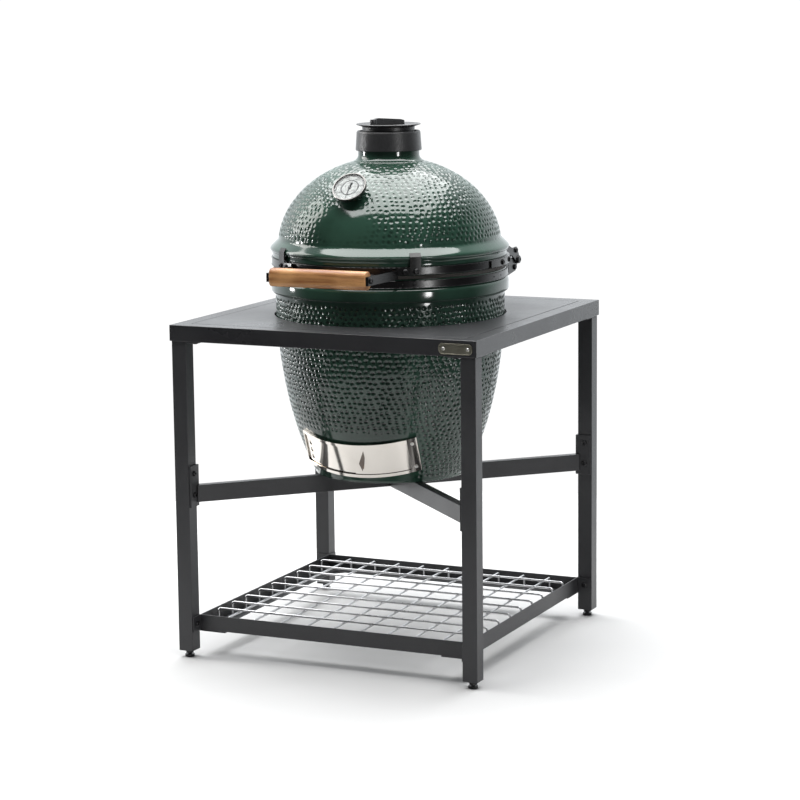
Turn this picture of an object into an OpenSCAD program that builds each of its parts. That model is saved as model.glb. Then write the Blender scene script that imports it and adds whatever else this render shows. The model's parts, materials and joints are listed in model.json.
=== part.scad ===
// Egg-shaped ceramic charcoal grill in a square steel table frame.
// Millimetres, +Z up. The origin is on the floor, on the upright axis of the egg.
// The front, with the handle and the draft door, faces -Y.

/* [Table] */
// Side of the square table top
table_side = 760; // [720:10:820]
// Height of the table top above the floor
table_height = 780; // [740:5:820]
// Height of the folded edge around the table top
table_edge = 37; // [30:1:45]
// Thickness of the table sheet
table_sheet = 3; // [2:0.5:4]
// Width of the border around the inset panel
border_width = 37; // [30:1:50]
// Diameter of the hole the egg stands in
cutout_diameter = 544; // [540:2:560]
// Height of the edge folded down around the hole
cutout_fold = 15; // [10:1:30]

/* [Legs and rails] */
// Side of the square leg tube
leg_side = 35.7; // [30:0.1:45]
// Wall of the leg tube
leg_wall = 2; // [1.5:0.5:3]
// Distance from the table edge to the outer face of a leg
leg_inset = 3.7; // [3.5:0.1:6]
// Height of a levelling foot below its leg
foot_height = 16.4; // [12:0.2:24]
// Diameter of a foot pad
foot_diameter = 22; // [18:1:30]
// Height of the underside of the shelf rails
rail_bottom = 61; // [50:1:80]
// Height of a shelf rail
rail_height = 36; // [30:1:45]
// Thickness of the rail sheet
rail_sheet = 3; // [2:0.5:4]

/* [Brace under the egg] */
// Height of the top of the crossed beams
brace_top = 405; // [395:1:410]
// Height of a beam
brace_height = 40; // [30:1:50]
// Width of a beam
brace_width = 20; // [16:1:30]

/* [Wire shelf] */
// Diameter of a shelf wire
wire_diameter = 5; // [4:0.5:6]
// Spacing of the shelf wires
wire_pitch = 67.9; // [60:0.1:70]
// Number of wires each way
wire_count = 9; // [7:2:9]
// Height of the top of the wires
wire_top = 100; // [95:1:105]

/* [Egg] */
// Largest radius of the base
base_radius_max = 268.5; // [260:0.5:270]
// Thickness of the ceramic wall
wall = 22; // [18:1:26]
// Height of the joint between the base and the dome
seam_height = 892; // [890:0.5:895]
// Largest radius of the dome
dome_radius_max = 261.3; // [255:0.1:265]
// Height of the top of the chimney neck
neck_top = 1172; // [1168:1:1180]

/* [Handle and gauge] */
// Length of the wooden grip
grip_length = 238; // [200:1:260]
// Height of the wooden grip
grip_height = 41; // [36:1:45]
// Depth of the wooden grip
grip_depth = 30; // [24:1:34]
// Diameter of the thermometer case
gauge_diameter = 81; // [70:1:90]

/* [Parts shown] */
// Which part is drawn

/* [Hidden] */
$fn = 96;
gap = 0.3;
running_fit = 0.05;

// Colours
glaze = [0.10, 0.26, 0.20];
bare_ceramic = [0.78, 0.70, 0.60];
frame_paint = [0.17, 0.17, 0.18];
strap_paint = [0.08, 0.08, 0.09];
iron = [0.14, 0.14, 0.15];
steel = [0.75, 0.75, 0.77];
dark_steel = [0.22, 0.22, 0.23];
oak = [0.72, 0.48, 0.27];
felt = [0.30, 0.29, 0.28];
ivory = [0.93, 0.92, 0.88];
bronze = [0.36, 0.33, 0.29];

// Table and legs
table_half = table_side / 2;
table_bottom = table_height - table_edge;
panel_half = table_half - border_width;
panel_gap = 1.5;
ledge_half = panel_half - 23;
flange_half = table_half - 68;
leg_outer = table_half - leg_inset;
leg_inner = leg_outer - leg_side;
leg_centre = (leg_outer + leg_inner) / 2;
corner_plate_side = 69;
corner_plate_sheet = 3;
leg_top = table_bottom - corner_plate_sheet;
end_plate = 5;
corners = [[-1, -1], [1, -1], [-1, 1], [1, 1]];

// Levelling feet
foot_stem_radius = 5;
foot_pad_height = 6;
foot_stem_top = 48;
foot_nut_across = 19.6;

// Shelf rails
rail_flange = 36;
tab_length = 33;
gusset_leg = 67;
gusset_tip = 14;

// Bolts
bolt_head_radius = 6.5;
bolt_head_height = 4.2;
small_head_radius = 4;
small_head_height = 2.6;

// Wire shelf
wire_radius = wire_diameter / 2;
wire_reach = 328;
wire_bend = 7;
wire_first = -(wire_count - 1) / 2;
wire_foot = rail_bottom + rail_sheet + gap;

// Brace
bracket_sheet = 4.6;
bracket_inner = leg_inner - bracket_sheet;
bracket_bottom = 356;
bracket_top = 453;
brace_reach = leg_inner * sqrt(2);
bracket_bolt_low = 384;
bracket_bolt_high = 434;

// Badge on the front edge of the table
badge_x = 331;
badge_z = 760;
badge_length = 80;
badge_height = 24;
badge_sheet = 1.6;
badge_corner = 10;
badge_border = 1.6;
badge_relief = 0.5;
badge_rivet_offset = 29;
badge_rivet_radius = 4;
badge_rivet_height = 2;

// Outline of the egg: two half ellipses that share the upright axis
base_bottom = brace_top;
base_centre_z = 828.4;
base_half_height = 569.3;
dome_centre_z = 937.8;
dome_half_height = 207.3;
rim_radius = 272.4;
rim_bottom = 834;
base_rim_top = seam_height - 3.6;
dome_rim_bottom = seam_height + 3.6;
rim_inner_radius = 246;
roll_radius = 278;
roll_bend = 7;
roll_top = 861;
floor_thickness = 43;
strip_radius = 274.4;
flare_radius = 279.2;
strip_bottom = 917.5;
flare_bottom = 930;
flare_top = 938;
shoulder_top = 953.5;
neck_radius = 71.5;
neck_inner_radius = 50;
neck_fillet = 15;
neck_fillet_z = 1150;
neck_fillet_end = 75;
base_steps = 20;
dome_steps = 24;
fillet_steps = 5;

// Bands around the two rims
band_sheet = 3.4;
base_band_bottom = 867.5;
base_band_top = 885.5;
dome_band_bottom = 897.5;
dome_band_top = 915.8;
band_radius = rim_radius + band_sheet;
bead = 1;
plate_radius = band_radius + bead;
band_bolt_angles = [30.6, 36.4];
band_rivet_radius = 2.6;
band_rivet_height = 1.6;
band_hole_angles = [-5.3, 2.6];
band_hole_radius = 2;
handle_bolt_angles = [31.9, 37.1];
upper_hinge_bolt_angles = [3, 16];
lower_hinge_bolt_angles = [33, 41];

// Inside the base
box_gap = 12;
box_bottom = base_bottom + floor_thickness;
box_top = 715;
box_wall = 24;
ash_radius = 95;
ash_mouth_half = 55;
ash_mouth_height = 33;
grate_bottom = 500;
grate_radius = 122;
grate_sheet = 8;
ring_wall = 18;
ring_top = 850;
grid_radius = 228.5;
grid_rim_width = 5;
grid_rim_height = 9;
grid_wire = 3;
grid_weld = 0.6;
grid_bars = 14;

// Draft door. Its parts are bent around an axis that leans forward with the ceramic.
door_middle_z = 461.5;
door_slope = base_slope(door_middle_z);
door_lean = atan(door_slope);
door_bend = base_radius(door_middle_z) / cos(door_lean);
door_axis_z = door_middle_z + base_radius(door_middle_z) * door_slope;
door_bottom = -42;
door_top = 45;
door_lip = 8;
door_lip_cover = 4;
door_half_angle = 39.5;
seat_angle = 0.2;
end_plate_angle = 6;
end_strip_angle = 0.7;
intake_half_angle = 30;
intake_bottom = -28;
intake_top = 31;
plate_inner = door_bend + gap;
plate_outer = plate_inner + 1.6;
inner_door = plate_outer + gap;
outer_door = inner_door + 1.6;
door_sheet = 1.2;
lip_inner = outer_door + door_sheet + 0.6;
lip_outer = lip_inner + 1.4;
end_plate_outer = lip_inner + 0.4;
door_edge = 0.5;
track_bottom = door_bottom + door_lip - door_lip_cover;
track_top = door_top - door_lip + door_lip_cover;
seam_overlap = 1.4;
end_play = 0.3;
finger_hole_radius = 6;
finger_hole_angle = -33.5;
finger_hole_pitch = 18.5;
finger_hole_middle = -1;
draft_screw_heights = [-29, 31];
// Finger pull: its corners, and the angle it is lifted by along its left edge
pull_outline = [[1, 26], [2, 8], [-9, -26], [-14, -4]];
pull_angle = 7;
pull_lift = 28;
pull_middle = 3;
pull_sink = 0.4;

// Hinge at the back
hinge_y = 300;
hinge_z = 880;
lower_arm_x = 194;
hinge_sheet = 4;
upper_arm_x = lower_arm_x + hinge_sheet + gap;
shaft_radius = 6;
shaft_head_radius = 9.5;
arm_eye_radius = 10;
bar_radius = 4;
upper_bar = [284, 904];
lower_bar = [285.5, 863];
// Outlines of the arms, as [y, z] corners from the band to the shaft and back
lower_arm_outline = [
    [199, 868.5], [199, 884.5], [284, 888], [300, 890],
    [309, 876], [292, 854], [246, 847], [222, 860],
];
upper_arm_outline = [
    [193.8, 899], [193.8, 914.5], [244, 918], [262, 911], [290, 912],
    [308, 886], [293, 874], [262, 893], [230, 899],
];
coil_radius = 11;
coil_wire = 1.6;
coil_turns = 12;
coil_pitch = 4.2;
coil_steps = 16;
coil_sides = 6;
coil_start_x = 124;
coil_end_x = coil_start_x + coil_turns * coil_pitch;
leg_wire = 1.4;
leg_collar_offset = 3.8;
plate_sheet = 3;
lower_plate_middle = 38.2;
lower_plate_half = 8;
upper_plate_middle = 18;
upper_plate_half = 27;

// Handle
grip_y = -371;
grip_z = 899;
grip_corner = 12;
arm_sheet = 4;
arm_height = 20;
arm_tab = 3;
arm_foot_from = 27.5;
arm_foot_sheet = 3.5;
arm_foot_gap = 0.1;
arm_tab_half = 12;
arm_elbow_y = -350;
// Where an arm leaves its foot on the band, as [x, y] corners from the inside out
arm_root = [[130.6, -251.5], [134, -248], [135.6, -249.4]];
bracket_from = 29.5;
bracket_to = 39.4;
strap_middle = 36.7;
strap_half = 2.6;
strap_inner = plate_radius + plate_sheet - 0.4;
strap_outer = strap_inner + 3;
strap_bottom = dome_band_top - 9;
hook_corner = flare_top + 1;
hook_tip = [flare_radius - 3.2, flare_top + 9.6];
hook_edge = 1.4;

// Thermometer on the front of the dome
gauge_tilt = 45;
gauge_radius = gauge_diameter / 2;
gauge_centre = [0, -212, 1089.7];
gauge_case_depth = 12;
gauge_face_radius = 36.4;
gauge_stem_radius = 4;
gauge_stem_length = 76;
gauge_nut_across = 19;
gauge_nut_height = 8;
dial_bottom = -2.4;
dial_sheet = 0.8;
dial_pin_radius = 1;
needle_bottom = -1.2;
needle_sheet = 0.6;
needle_tail = 14;
needle_hub_radius = 4.5;
lens_bottom = 0.7;
lens_sheet = 1.4;
needle_rest_angle = 268;
needle_length = 31;

// Chimney cap
collar_bottom = 1159.5;
collar_top = 1204.5;
collar_bottom_radius = 77;
collar_top_radius = 74.3;
collar_chamfer = 3.5;
collar_inner_radius = 69.5;
collar_seat = 6;
cap_neck_radius = 61;
cap_neck_inner_radius = 55;
cap_neck_top = 1214;
disc_bottom = cap_neck_top + gap;
disc_top = 1221;
disc_radius = 74.5;
disc_sheet = 3;
disc_flat_radius = 61;
fin_angle = 71;
disc_pin_reach = 58;
disc_pin_radius = 3;
disc_pin_depth = 22;
pin_boss_radius = 7;
fin_length = 100;
fin_thickness = 8;
fin_boss_radius = 8;
fin_top = 1235;
fin_back_height = 11;

function base_radius(z) =
    base_radius_max * sqrt(1 - pow((z - base_centre_z) / base_half_height, 2));

// How fast the outline of the base widens with height.
function base_slope(z) =
    let (rise = (base_centre_z - z) / base_half_height)
    base_radius_max * rise / (base_half_height * sqrt(1 - rise * rise));

// Evenly spaced values from one number to another, both included.
function spaced(from, to, steps) = [for (i = [0:steps]) from + (to - from) * i / steps];

// Points on a half ellipse around the upright axis, between two angles above the horizon.
function ellipse_points(radius, height, centre_z, from, to, steps) =
    [for (a = spaced(from, to, steps)) [radius * cos(a), centre_z + height * sin(a)]];

function reversed(list) = [for (i = [len(list) - 1:-1:0]) list[i]];

// ---- Shared building blocks ----

// A ring of rectangular section around the upright axis.
module ring(inner, outer, bottom, top) {
    difference() {
        translate([0, 0, bottom]) cylinder(r = outer, h = top - bottom);
        translate([0, 0, bottom - 1]) cylinder(r = inner, h = top - bottom + 2);
    }
}

// A slice of a ring, given by the angle of its middle and its half angle.
module arc_plate(inner, outer, bottom, top, middle, half) {
    rotate([0, 0, middle - half])
        rotate_extrude(angle = 2 * half)
            translate([inner, bottom]) square([outer - inner, top - bottom]);
}

// A rivet head with sloping sides that stands on the XY plane.
module rivet(radius, height) {
    cylinder(r1 = radius, r2 = 0.7 * radius, h = height, $fn = 32);
}

// A hexagon socket bolt head with a tapered top that stands on the XY plane.
module bolt_head(radius, height) {
    straight = 0.6 * height;
    top_radius = 0.72 * radius;
    socket_radius = 0.45 * radius;
    socket_bottom = 0.4 * height;
    difference() {
        union() {
            cylinder(r = radius, h = straight);
            translate([0, 0, straight]) cylinder(r1 = radius, r2 = top_radius, h = height - straight);
        }
        translate([0, 0, socket_bottom]) cylinder(r = socket_radius, h = height, $fn = 6);
    }
}

// Mirrors a child drawn for the +X +Y corner into another corner of the frame.
module in_corner(c) {
    mirror([c.x < 0 ? 1 : 0, 0, 0])
        mirror([0, c.y < 0 ? 1 : 0, 0])
            children();
}

// Draws a child on the right and again, mirrored, on the left.
module on_both_sides() {
    children();
    mirror([1, 0, 0]) children();
}

// Turns a child that points along +Z so that it points away from the egg's axis.
module on_ring(angle, radius, z) {
    rotate([0, 0, angle])
        translate([radius, 0, z])
            rotate([0, 90, 0])
                children();
}

// ---- Table ----

// Border of the table top, with a ledge under the panel and its edge folded down and in.
module table_rim() {
    color(frame_paint)
    difference() {
        square_block(table_half, table_bottom, table_height);
        square_block(table_half - table_sheet, table_bottom + table_sheet, table_height - 2 * table_sheet);
        square_block(panel_half, table_height - table_sheet, table_height + 1);
        square_block(ledge_half, table_bottom + table_sheet, table_height);
        square_block(flange_half, table_bottom - 1, table_height);
    }
}

// A square block centred on the upright axis.
module square_block(half, bottom, top) {
    translate([-half, -half, bottom]) cube([2 * half, 2 * half, top - bottom]);
}

// The inset panel, with the edge of its hole folded down.
module table_panel() {
    color(frame_paint)
    difference() {
        union() {
            square_block(panel_half - panel_gap, table_height - table_sheet, table_height);
            translate([0, 0, table_height - cutout_fold])
                cylinder(d = cutout_diameter + 2 * table_sheet, h = cutout_fold - table_sheet / 2);
        }
        translate([0, 0, table_bottom]) cylinder(d = cutout_diameter, h = 2 * table_edge);
    }
}

module corner_plates() {
    inner = leg_outer - corner_plate_side;
    color(frame_paint)
    for (c = corners)
        in_corner(c)
            translate([inner, inner, leg_top])
                cube([corner_plate_side, corner_plate_side, corner_plate_sheet]);
}

// ---- Legs and feet ----

module leg(cx, cy) {
    bore = leg_side - 2 * leg_wall;
    color(frame_paint)
    translate([cx * leg_centre, cy * leg_centre, foot_height])
    difference() {
        translate([-leg_side / 2, -leg_side / 2, 0])
            cube([leg_side, leg_side, leg_top - foot_height]);
        translate([-bore / 2, -bore / 2, end_plate])
            cube([bore, bore, leg_top]);
        translate([0, 0, -1])
            cylinder(r = foot_stem_radius + running_fit, h = end_plate + 2);
    }
}

module leg_front_left() { leg(-1, -1); }
module leg_front_right() { leg(1, -1); }
module leg_back_left() { leg(-1, 1); }
module leg_back_right() { leg(1, 1); }

module foot(cx, cy) {
    nut_top = foot_height - gap;
    color(dark_steel)
    translate([cx * leg_centre, cy * leg_centre, 0]) {
        cylinder(d1 = foot_diameter - 1, d2 = foot_diameter, h = 1);
        translate([0, 0, 1]) cylinder(d = foot_diameter, h = foot_pad_height - 1);
        translate([0, 0, foot_pad_height])
            cylinder(r = foot_stem_radius, h = foot_stem_top - foot_pad_height);
        translate([0, 0, nut_top - 7]) cylinder(d = foot_nut_across, h = 7, $fn = 6);
    }
}

module foot_front_left() { foot(-1, -1); }
module foot_front_right() { foot(1, -1); }
module foot_back_left() { foot(-1, 1); }
module foot_back_right() { foot(1, 1); }

// ---- Shelf frame ----

// A rail along X whose outer face is at y = -leg_inner.
module shelf_rail(half_length, half_flange) {
    translate([-half_length, -leg_inner, rail_bottom])
        cube([2 * half_length, rail_sheet, rail_height]);
    translate([-half_flange, -leg_inner, rail_bottom])
        cube([2 * half_flange, rail_flange, rail_sheet]);
}

module shelf_rail_front() {
    color(frame_paint) shelf_rail(leg_inner, leg_inner - rail_sheet);
}

module shelf_rail_back() {
    color(frame_paint) rotate([0, 0, 180]) shelf_rail(leg_inner, leg_inner - rail_sheet);
}

module shelf_rail_left() {
    color(frame_paint)
        rotate([0, 0, -90]) shelf_rail(leg_inner - rail_sheet, leg_inner - rail_flange);
}

module shelf_rail_right() {
    color(frame_paint)
        rotate([0, 0, 90]) shelf_rail(leg_inner - rail_sheet, leg_inner - rail_flange);
}

// Tabs that carry the rails past the inner faces of the legs, and plates under the corners.
module shelf_corners() {
    color(frame_paint)
    for (c = corners)
        in_corner(c) {
            translate([leg_inner - rail_sheet, leg_inner, rail_bottom])
                cube([rail_sheet, tab_length, rail_height]);
            translate([leg_inner, leg_inner - rail_sheet, rail_bottom])
                cube([tab_length, rail_sheet, rail_height]);
            translate([leg_inner, leg_inner, rail_bottom - rail_sheet])
                linear_extrude(rail_sheet)
                    polygon([
                        [0, 0], [-gusset_leg, 0], [-gusset_leg, -gusset_tip],
                        [-gusset_tip, -gusset_leg], [0, -gusset_leg],
                    ]);
        }
}

// A straight wire along X with both ends bent down.
module shelf_wire(top) {
    centre_z = top - wire_radius;
    bend_x = wire_reach - wire_bend;
    translate([-bend_x, 0, centre_z]) rotate([0, 90, 0]) cylinder(r = wire_radius, h = 2 * bend_x);
    for (end = [0, 1])
        mirror([end, 0, 0]) {
            translate([bend_x, 0, centre_z - wire_bend])
                rotate([90, 0, 0])
                    rotate_extrude(angle = 90)
                        translate([wire_bend, 0]) circle(r = wire_radius, $fn = 24);
            translate([wire_reach, 0, wire_foot])
                cylinder(r = wire_radius, h = centre_z - wire_bend - wire_foot);
        }
}

module wires_across() {
    color(steel)
    for (i = [wire_first:-wire_first])
        translate([0, i * wire_pitch, 0]) shelf_wire(wire_top);
}

module wires_deep() {
    color(steel)
    rotate([0, 0, 90])
        for (i = [wire_first:-wire_first])
            translate([0, i * wire_pitch, 0]) shelf_wire(wire_top - wire_diameter);
}

// ---- Crossed beams under the egg ----

// The corner blocks that the L-shaped brackets wrap around.
module bracket_corners() {
    reach = 60;
    for (c = corners)
        in_corner(c)
            translate([bracket_inner, bracket_inner, 0]) cube([reach, reach, brace_top + reach]);
}

// A beam along the diagonal at the given angle, notched around the brackets.
module beam(angle, from, to) {
    difference() {
        rotate([0, 0, angle])
            translate([from, -brace_width / 2, brace_top - brace_height])
                cube([to - from, brace_width, brace_height]);
        bracket_corners();
    }
}

module brace_beam() {
    color(frame_paint) beam(45, -brace_reach, brace_reach);
}

module brace_half_beams() {
    color(frame_paint) {
        beam(-45, brace_width / 2, brace_reach);
        beam(135, brace_width / 2, brace_reach);
    }
}

module brace_brackets() {
    length = leg_side + bracket_sheet - 2;
    color(frame_paint)
    for (c = corners)
        in_corner(c)
            translate([bracket_inner, bracket_inner, bracket_bottom])
                difference() {
                    cube([length, length, bracket_top - bracket_bottom]);
                    translate([bracket_sheet, bracket_sheet, -1])
                        cube([length, length, bracket_top - bracket_bottom + 2]);
                }
}

// A pair of bolts whose heads stand on two faces that meet at a leg's inner corner.
module corner_bolt_pair(face, z) {
    translate([face, leg_centre, z])
        rotate([0, -90, 0]) bolt_head(bolt_head_radius, bolt_head_height);
    translate([leg_centre, face, z])
        rotate([90, 0, 0]) bolt_head(bolt_head_radius, bolt_head_height);
}

// All the bolts of the frame: under the table top, on the shelf tabs and on the brackets.
module frame_bolts() {
    plate_bolt = leg_inner - 16;
    color(dark_steel)
    for (c = corners)
        in_corner(c) {
            for (p = [[plate_bolt, leg_centre], [leg_centre, plate_bolt]])
                translate([p.x, p.y, leg_top])
                    rotate([180, 0, 0]) bolt_head(bolt_head_radius, bolt_head_height);
            corner_bolt_pair(leg_inner - rail_sheet, rail_bottom + rail_height / 2);
            for (z = [bracket_bolt_low, bracket_bolt_high])
                corner_bolt_pair(bracket_inner, z);
        }
}

// ---- Badge ----

// The outline of the badge, smaller by inset all round.
module badge_outline(inset) {
    rounded_rectangle(badge_length - 2 * inset, badge_height - 2 * inset, badge_corner - inset);
}

// A plate with rounded ends and a raised border.
module badge_plate() {
    color(bronze)
    translate([badge_x, -table_half, badge_z])
        rotate([90, 0, 0])
            difference() {
                linear_extrude(badge_sheet) badge_outline(0);
                translate([0, 0, badge_sheet - badge_relief])
                    linear_extrude(2 * badge_relief) badge_outline(badge_border);
            }
}

module badge_rivets() {
    face = table_half + badge_sheet - badge_relief;
    color(steel)
    for (side = [-1, 1])
        translate([badge_x + side * badge_rivet_offset, -face, badge_z])
            rotate([90, 0, 0]) rivet(badge_rivet_radius, badge_rivet_height);
}

// ---- Ceramic base ----

// The frame of reference of the draft door: Z is the leaning axis its parts are bent around.
module on_door() {
    translate([0, 0, door_axis_z])
        rotate([door_lean, 0, 0])
            children();
}

// A bent strip of the draft door. Angles are counted from the front, positive to the right.
module door_strip(inner, outer, bottom, top, from, to) {
    on_door()
        arc_plate(inner, outer, bottom, top, -90 + (from + to) / 2, (to - from) / 2);
}

module base_shell() {
    outer = [for (z = spaced(base_bottom, rim_bottom, base_steps)) [base_radius(z), z]];
    inner = [for (z = spaced(box_bottom, rim_bottom, base_steps)) [base_radius(z) - wall, z]];
    // The rounded underside of the roll below the base band
    roll = [
        for (a = spaced(-90, 0, fillet_steps))
            [roll_radius - roll_bend * (1 - cos(a)), rim_bottom + roll_bend * (1 + sin(a))]
    ];
    rim = [
        [roll_radius, roll_top], [rim_radius, roll_top + roll_radius - rim_radius],
        [rim_radius, base_rim_top], [rim_inner_radius, base_rim_top],
    ];
    color(glaze)
    difference() {
        rotate_extrude()
            polygon(concat([[0, base_bottom]], outer, roll, rim, reversed(inner), [[0, box_bottom]]));
        // Air intake
        door_strip(
            door_bend - 3 * wall, door_bend + wall,
            intake_bottom, intake_top, -intake_half_angle, intake_half_angle
        );
        // Seat of the draft door frame
        door_strip(
            door_bend, door_bend + wall,
            door_bottom - gap, door_top + gap, -door_half_angle - seat_angle, door_half_angle + seat_angle
        );
    }
}

// ---- Inside the base ----

function box_radius(z) = base_radius(z) - wall - box_gap;

module fire_box() {
    outer = [for (z = spaced(box_bottom, box_top, base_steps / 2)) [box_radius(z), z]];
    inner = [
        for (z = spaced(grate_bottom + 2 * grate_sheet, box_top, base_steps / 2))
            [box_radius(z) - box_wall, z]
    ];
    color(bare_ceramic)
    difference() {
        rotate_extrude()
            polygon(concat(
                [[ash_radius, box_bottom]], outer, reversed(inner),
                [[grate_radius + 2, grate_bottom], [ash_radius, grate_bottom]]
            ));
        translate([-ash_mouth_half, -base_radius_max, box_bottom - 1])
            cube([2 * ash_mouth_half, base_radius_max, ash_mouth_height + 1]);
    }
}

module fire_ring() {
    outer = [for (z = [box_top, ring_top]) [box_radius(z), z]];
    color(bare_ceramic)
    rotate_extrude()
        polygon(concat(outer, [for (p = reversed(outer)) [p.x - ring_wall, p.y]]));
}

// Cast disc with rings of round holes.
module fire_grate() {
    hole_radius = 7;
    color(iron)
    difference() {
        translate([0, 0, grate_bottom]) cylinder(r = grate_radius, h = grate_sheet);
        for (count = [6, 12, 18])
            for (i = [0:count - 1])
                rotate([0, 0, i * 360 / count])
                    translate([count * 5.4, 0, grate_bottom - 1])
                        cylinder(r = hole_radius, h = grate_sheet + 2, $fn = 32);
    }
}

// Round bars across a flat rim, with two flat bars welded underneath.
module cooking_grid() {
    reach = grid_radius - grid_rim_width / 2;
    bar_z = ring_top + grid_rim_height - grid_wire - 0.5;
    flat_top = bar_z - grid_wire + grid_weld;
    color(steel) {
        ring(grid_radius - grid_rim_width, grid_radius, ring_top, ring_top + grid_rim_height);
        for (x = spaced(-reach, reach, grid_bars + 1))
            if (abs(x) < reach - 1)
                let (half = sqrt(reach * reach - x * x))
                translate([x, -half, bar_z])
                    rotate([-90, 0, 0])
                        cylinder(r = grid_wire, h = 2 * half, $fn = 24);
        for (y = [-reach / 2, reach / 2])
            let (half = sqrt(reach * reach - y * y))
            translate([-half, y - grid_wire, ring_top])
                cube([2 * half, 2 * grid_wire, flat_top - ring_top]);
    }
}

// ---- Rims, gaskets and bands ----

module base_gasket() {
    color(felt) ring(rim_inner_radius + 4, rim_radius - 0.5, base_rim_top, seam_height - gap / 2);
}

module dome_gasket() {
    color(felt) ring(rim_inner_radius + 4, rim_radius - 0.5, seam_height + gap / 2, dome_rim_bottom);
}

// A steel band with a rolled bead along each edge.
module band(bottom, top) {
    ring(rim_radius, band_radius, bottom, top);
    for (z = [bottom + bead, top - bead])
        translate([0, 0, z])
            rotate_extrude()
                translate([band_radius, 0]) circle(r = bead, $fn = 24);
}

module base_band() {
    hole_z = (base_band_bottom + base_band_top) / 2;
    color(strap_paint)
    difference() {
        band(base_band_bottom, base_band_top);
        on_both_sides()
            for (angle = band_hole_angles)
                on_ring(angle, rim_radius - 1, hole_z)
                    cylinder(r = band_hole_radius, h = 2 * band_sheet, $fn = 24);
    }
}

module dome_band() {
    color(strap_paint) band(dome_band_bottom, dome_band_top);
}

// Rivets and bolts of the base band, and the bolts of the lower hinge arms.
module base_bolts() {
    z = (base_band_bottom + base_band_top) / 2;
    color(dark_steel)
    on_both_sides() {
        on_ring(-90 + band_bolt_angles[0], band_radius, z) rivet(band_rivet_radius, band_rivet_height);
        on_ring(-90 + band_bolt_angles[1], band_radius, z)
            bolt_head(small_head_radius, small_head_height);
        for (angle = lower_hinge_bolt_angles)
            on_ring(angle, plate_radius + plate_sheet, z)
                bolt_head(small_head_radius, small_head_height);
        translate([lower_arm_x + hinge_sheet, lower_bar.x, lower_bar.y])
            rotate([0, 90, 0]) bolt_head(bolt_head_radius, bolt_head_height);
    }
}

// ---- Draft door ----

// The stretch of a ring, drawn by the child as its section, that lies between two angles.
module door_ring(from, to) {
    reach = 2 * door_bend;
    on_door()
        intersection() {
            rotate_extrude() children();
            translate([0, 0, door_bottom - 1])
                linear_extrude(door_top - door_bottom + 2)
                    polygon([
                        [0, 0],
                        [reach * sin(from), -reach * cos(from)],
                        [reach * sin(to), -reach * cos(to)],
                    ]);
        }
}

// A back plate with a lip along its top and bottom, open at the front.
module draft_frame_section() {
    difference() {
        translate([plate_inner, door_bottom])
            square([lip_outer - plate_inner, door_top - door_bottom]);
        translate([plate_outer, track_bottom])
            square([lip_inner - plate_outer, track_top - track_bottom]);
        translate([plate_outer, door_bottom + door_lip])
            square([door_bend, door_top - door_bottom - 2 * door_lip]);
    }
}

// The section of the strip that closes an end of the frame.
module draft_frame_end(outer) {
    translate([plate_inner, door_bottom]) square([outer - plate_inner, door_top - door_bottom]);
}

module draft_frame() {
    track_from = -door_half_angle + end_strip_angle;
    track_to = door_half_angle - end_plate_angle;
    color(steel)
    difference() {
        union() {
            door_ring(track_from, track_to) draft_frame_section();
            // A narrow strip closes the left end, and a wider plate the right end
            door_ring(-door_half_angle, track_from) draft_frame_end(lip_outer);
            door_ring(track_to, door_half_angle) draft_frame_end(end_plate_outer);
        }
        door_ring(-intake_half_angle, intake_half_angle)
            translate([0, intake_bottom])
                square([2 * door_bend, intake_top - intake_bottom]);
    }
}

// Places a child, drawn standing on the XY plane, on the outside of the bent door.
module on_bent_face(angle, height, radius) {
    on_door()
        rotate([0, 0, angle])
            translate([0, -radius, height])
                rotate([90, 0, 0])
                    children();
}

module draft_screws() {
    color(dark_steel)
    for (height = draft_screw_heights)
        on_bent_face(door_half_angle - end_plate_angle / 2, height, end_plate_outer)
            bolt_head(small_head_radius, small_head_height);
}

module draft_door_left() {
    cut = 10;
    color(steel)
    difference() {
        door_strip(
            inner_door, inner_door + door_sheet, track_bottom + door_edge, track_top - door_edge,
            -door_half_angle + 2 * end_strip_angle, seam_overlap
        );
        for (step = [-1:1])
            on_bent_face(finger_hole_angle, finger_hole_middle + step * finger_hole_pitch, inner_door)
                translate([0, 0, -cut / 2]) cylinder(r = finger_hole_radius, h = cut, $fn = 32);
    }
}

module draft_door_right() {
    color(steel) {
        door_strip(
            outer_door, outer_door + door_sheet, track_bottom + door_edge, track_top - door_edge,
            0, door_half_angle - end_plate_angle - end_play
        );
        on_bent_face(pull_angle, pull_middle, outer_door + door_sheet - pull_sink)
            rotate([0, pull_lift, 0])
                linear_extrude(door_sheet) polygon(pull_outline);
    }
}

// ---- Hinge ----

// A hinge arm: a flat plate in the YZ plane that spans x to x + hinge_sheet. Its outline ends in an
// eye round the shaft, and it is bored for the shaft and for a bar.
module hinge_arm(x, outline, eye, bar) {
    translate([x, 0, 0])
        rotate([90, 0, 90])
            linear_extrude(hinge_sheet)
                difference() {
                    union() {
                        polygon(outline);
                        translate([hinge_y, hinge_z]) circle(r = arm_eye_radius);
                    }
                    translate([hinge_y, hinge_z]) circle(r = eye);
                    translate(bar) circle(r = bar_radius);
                }
}

module hinge_lower_arms() {
    color(strap_paint)
    on_both_sides() {
        hinge_arm(lower_arm_x, lower_arm_outline, shaft_radius, lower_bar);
        arc_plate(
            plate_radius, plate_radius + plate_sheet, base_band_bottom + 1, base_band_top - 1,
            lower_plate_middle, lower_plate_half
        );
    }
}

module hinge_upper_arms() {
    color(strap_paint)
    on_both_sides() {
        hinge_arm(upper_arm_x, upper_arm_outline, shaft_radius + running_fit, upper_bar);
        arc_plate(
            plate_radius, plate_radius + plate_sheet, dome_band_bottom + 1, dome_band_top - 1,
            upper_plate_middle, upper_plate_half
        );
    }
}

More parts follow.
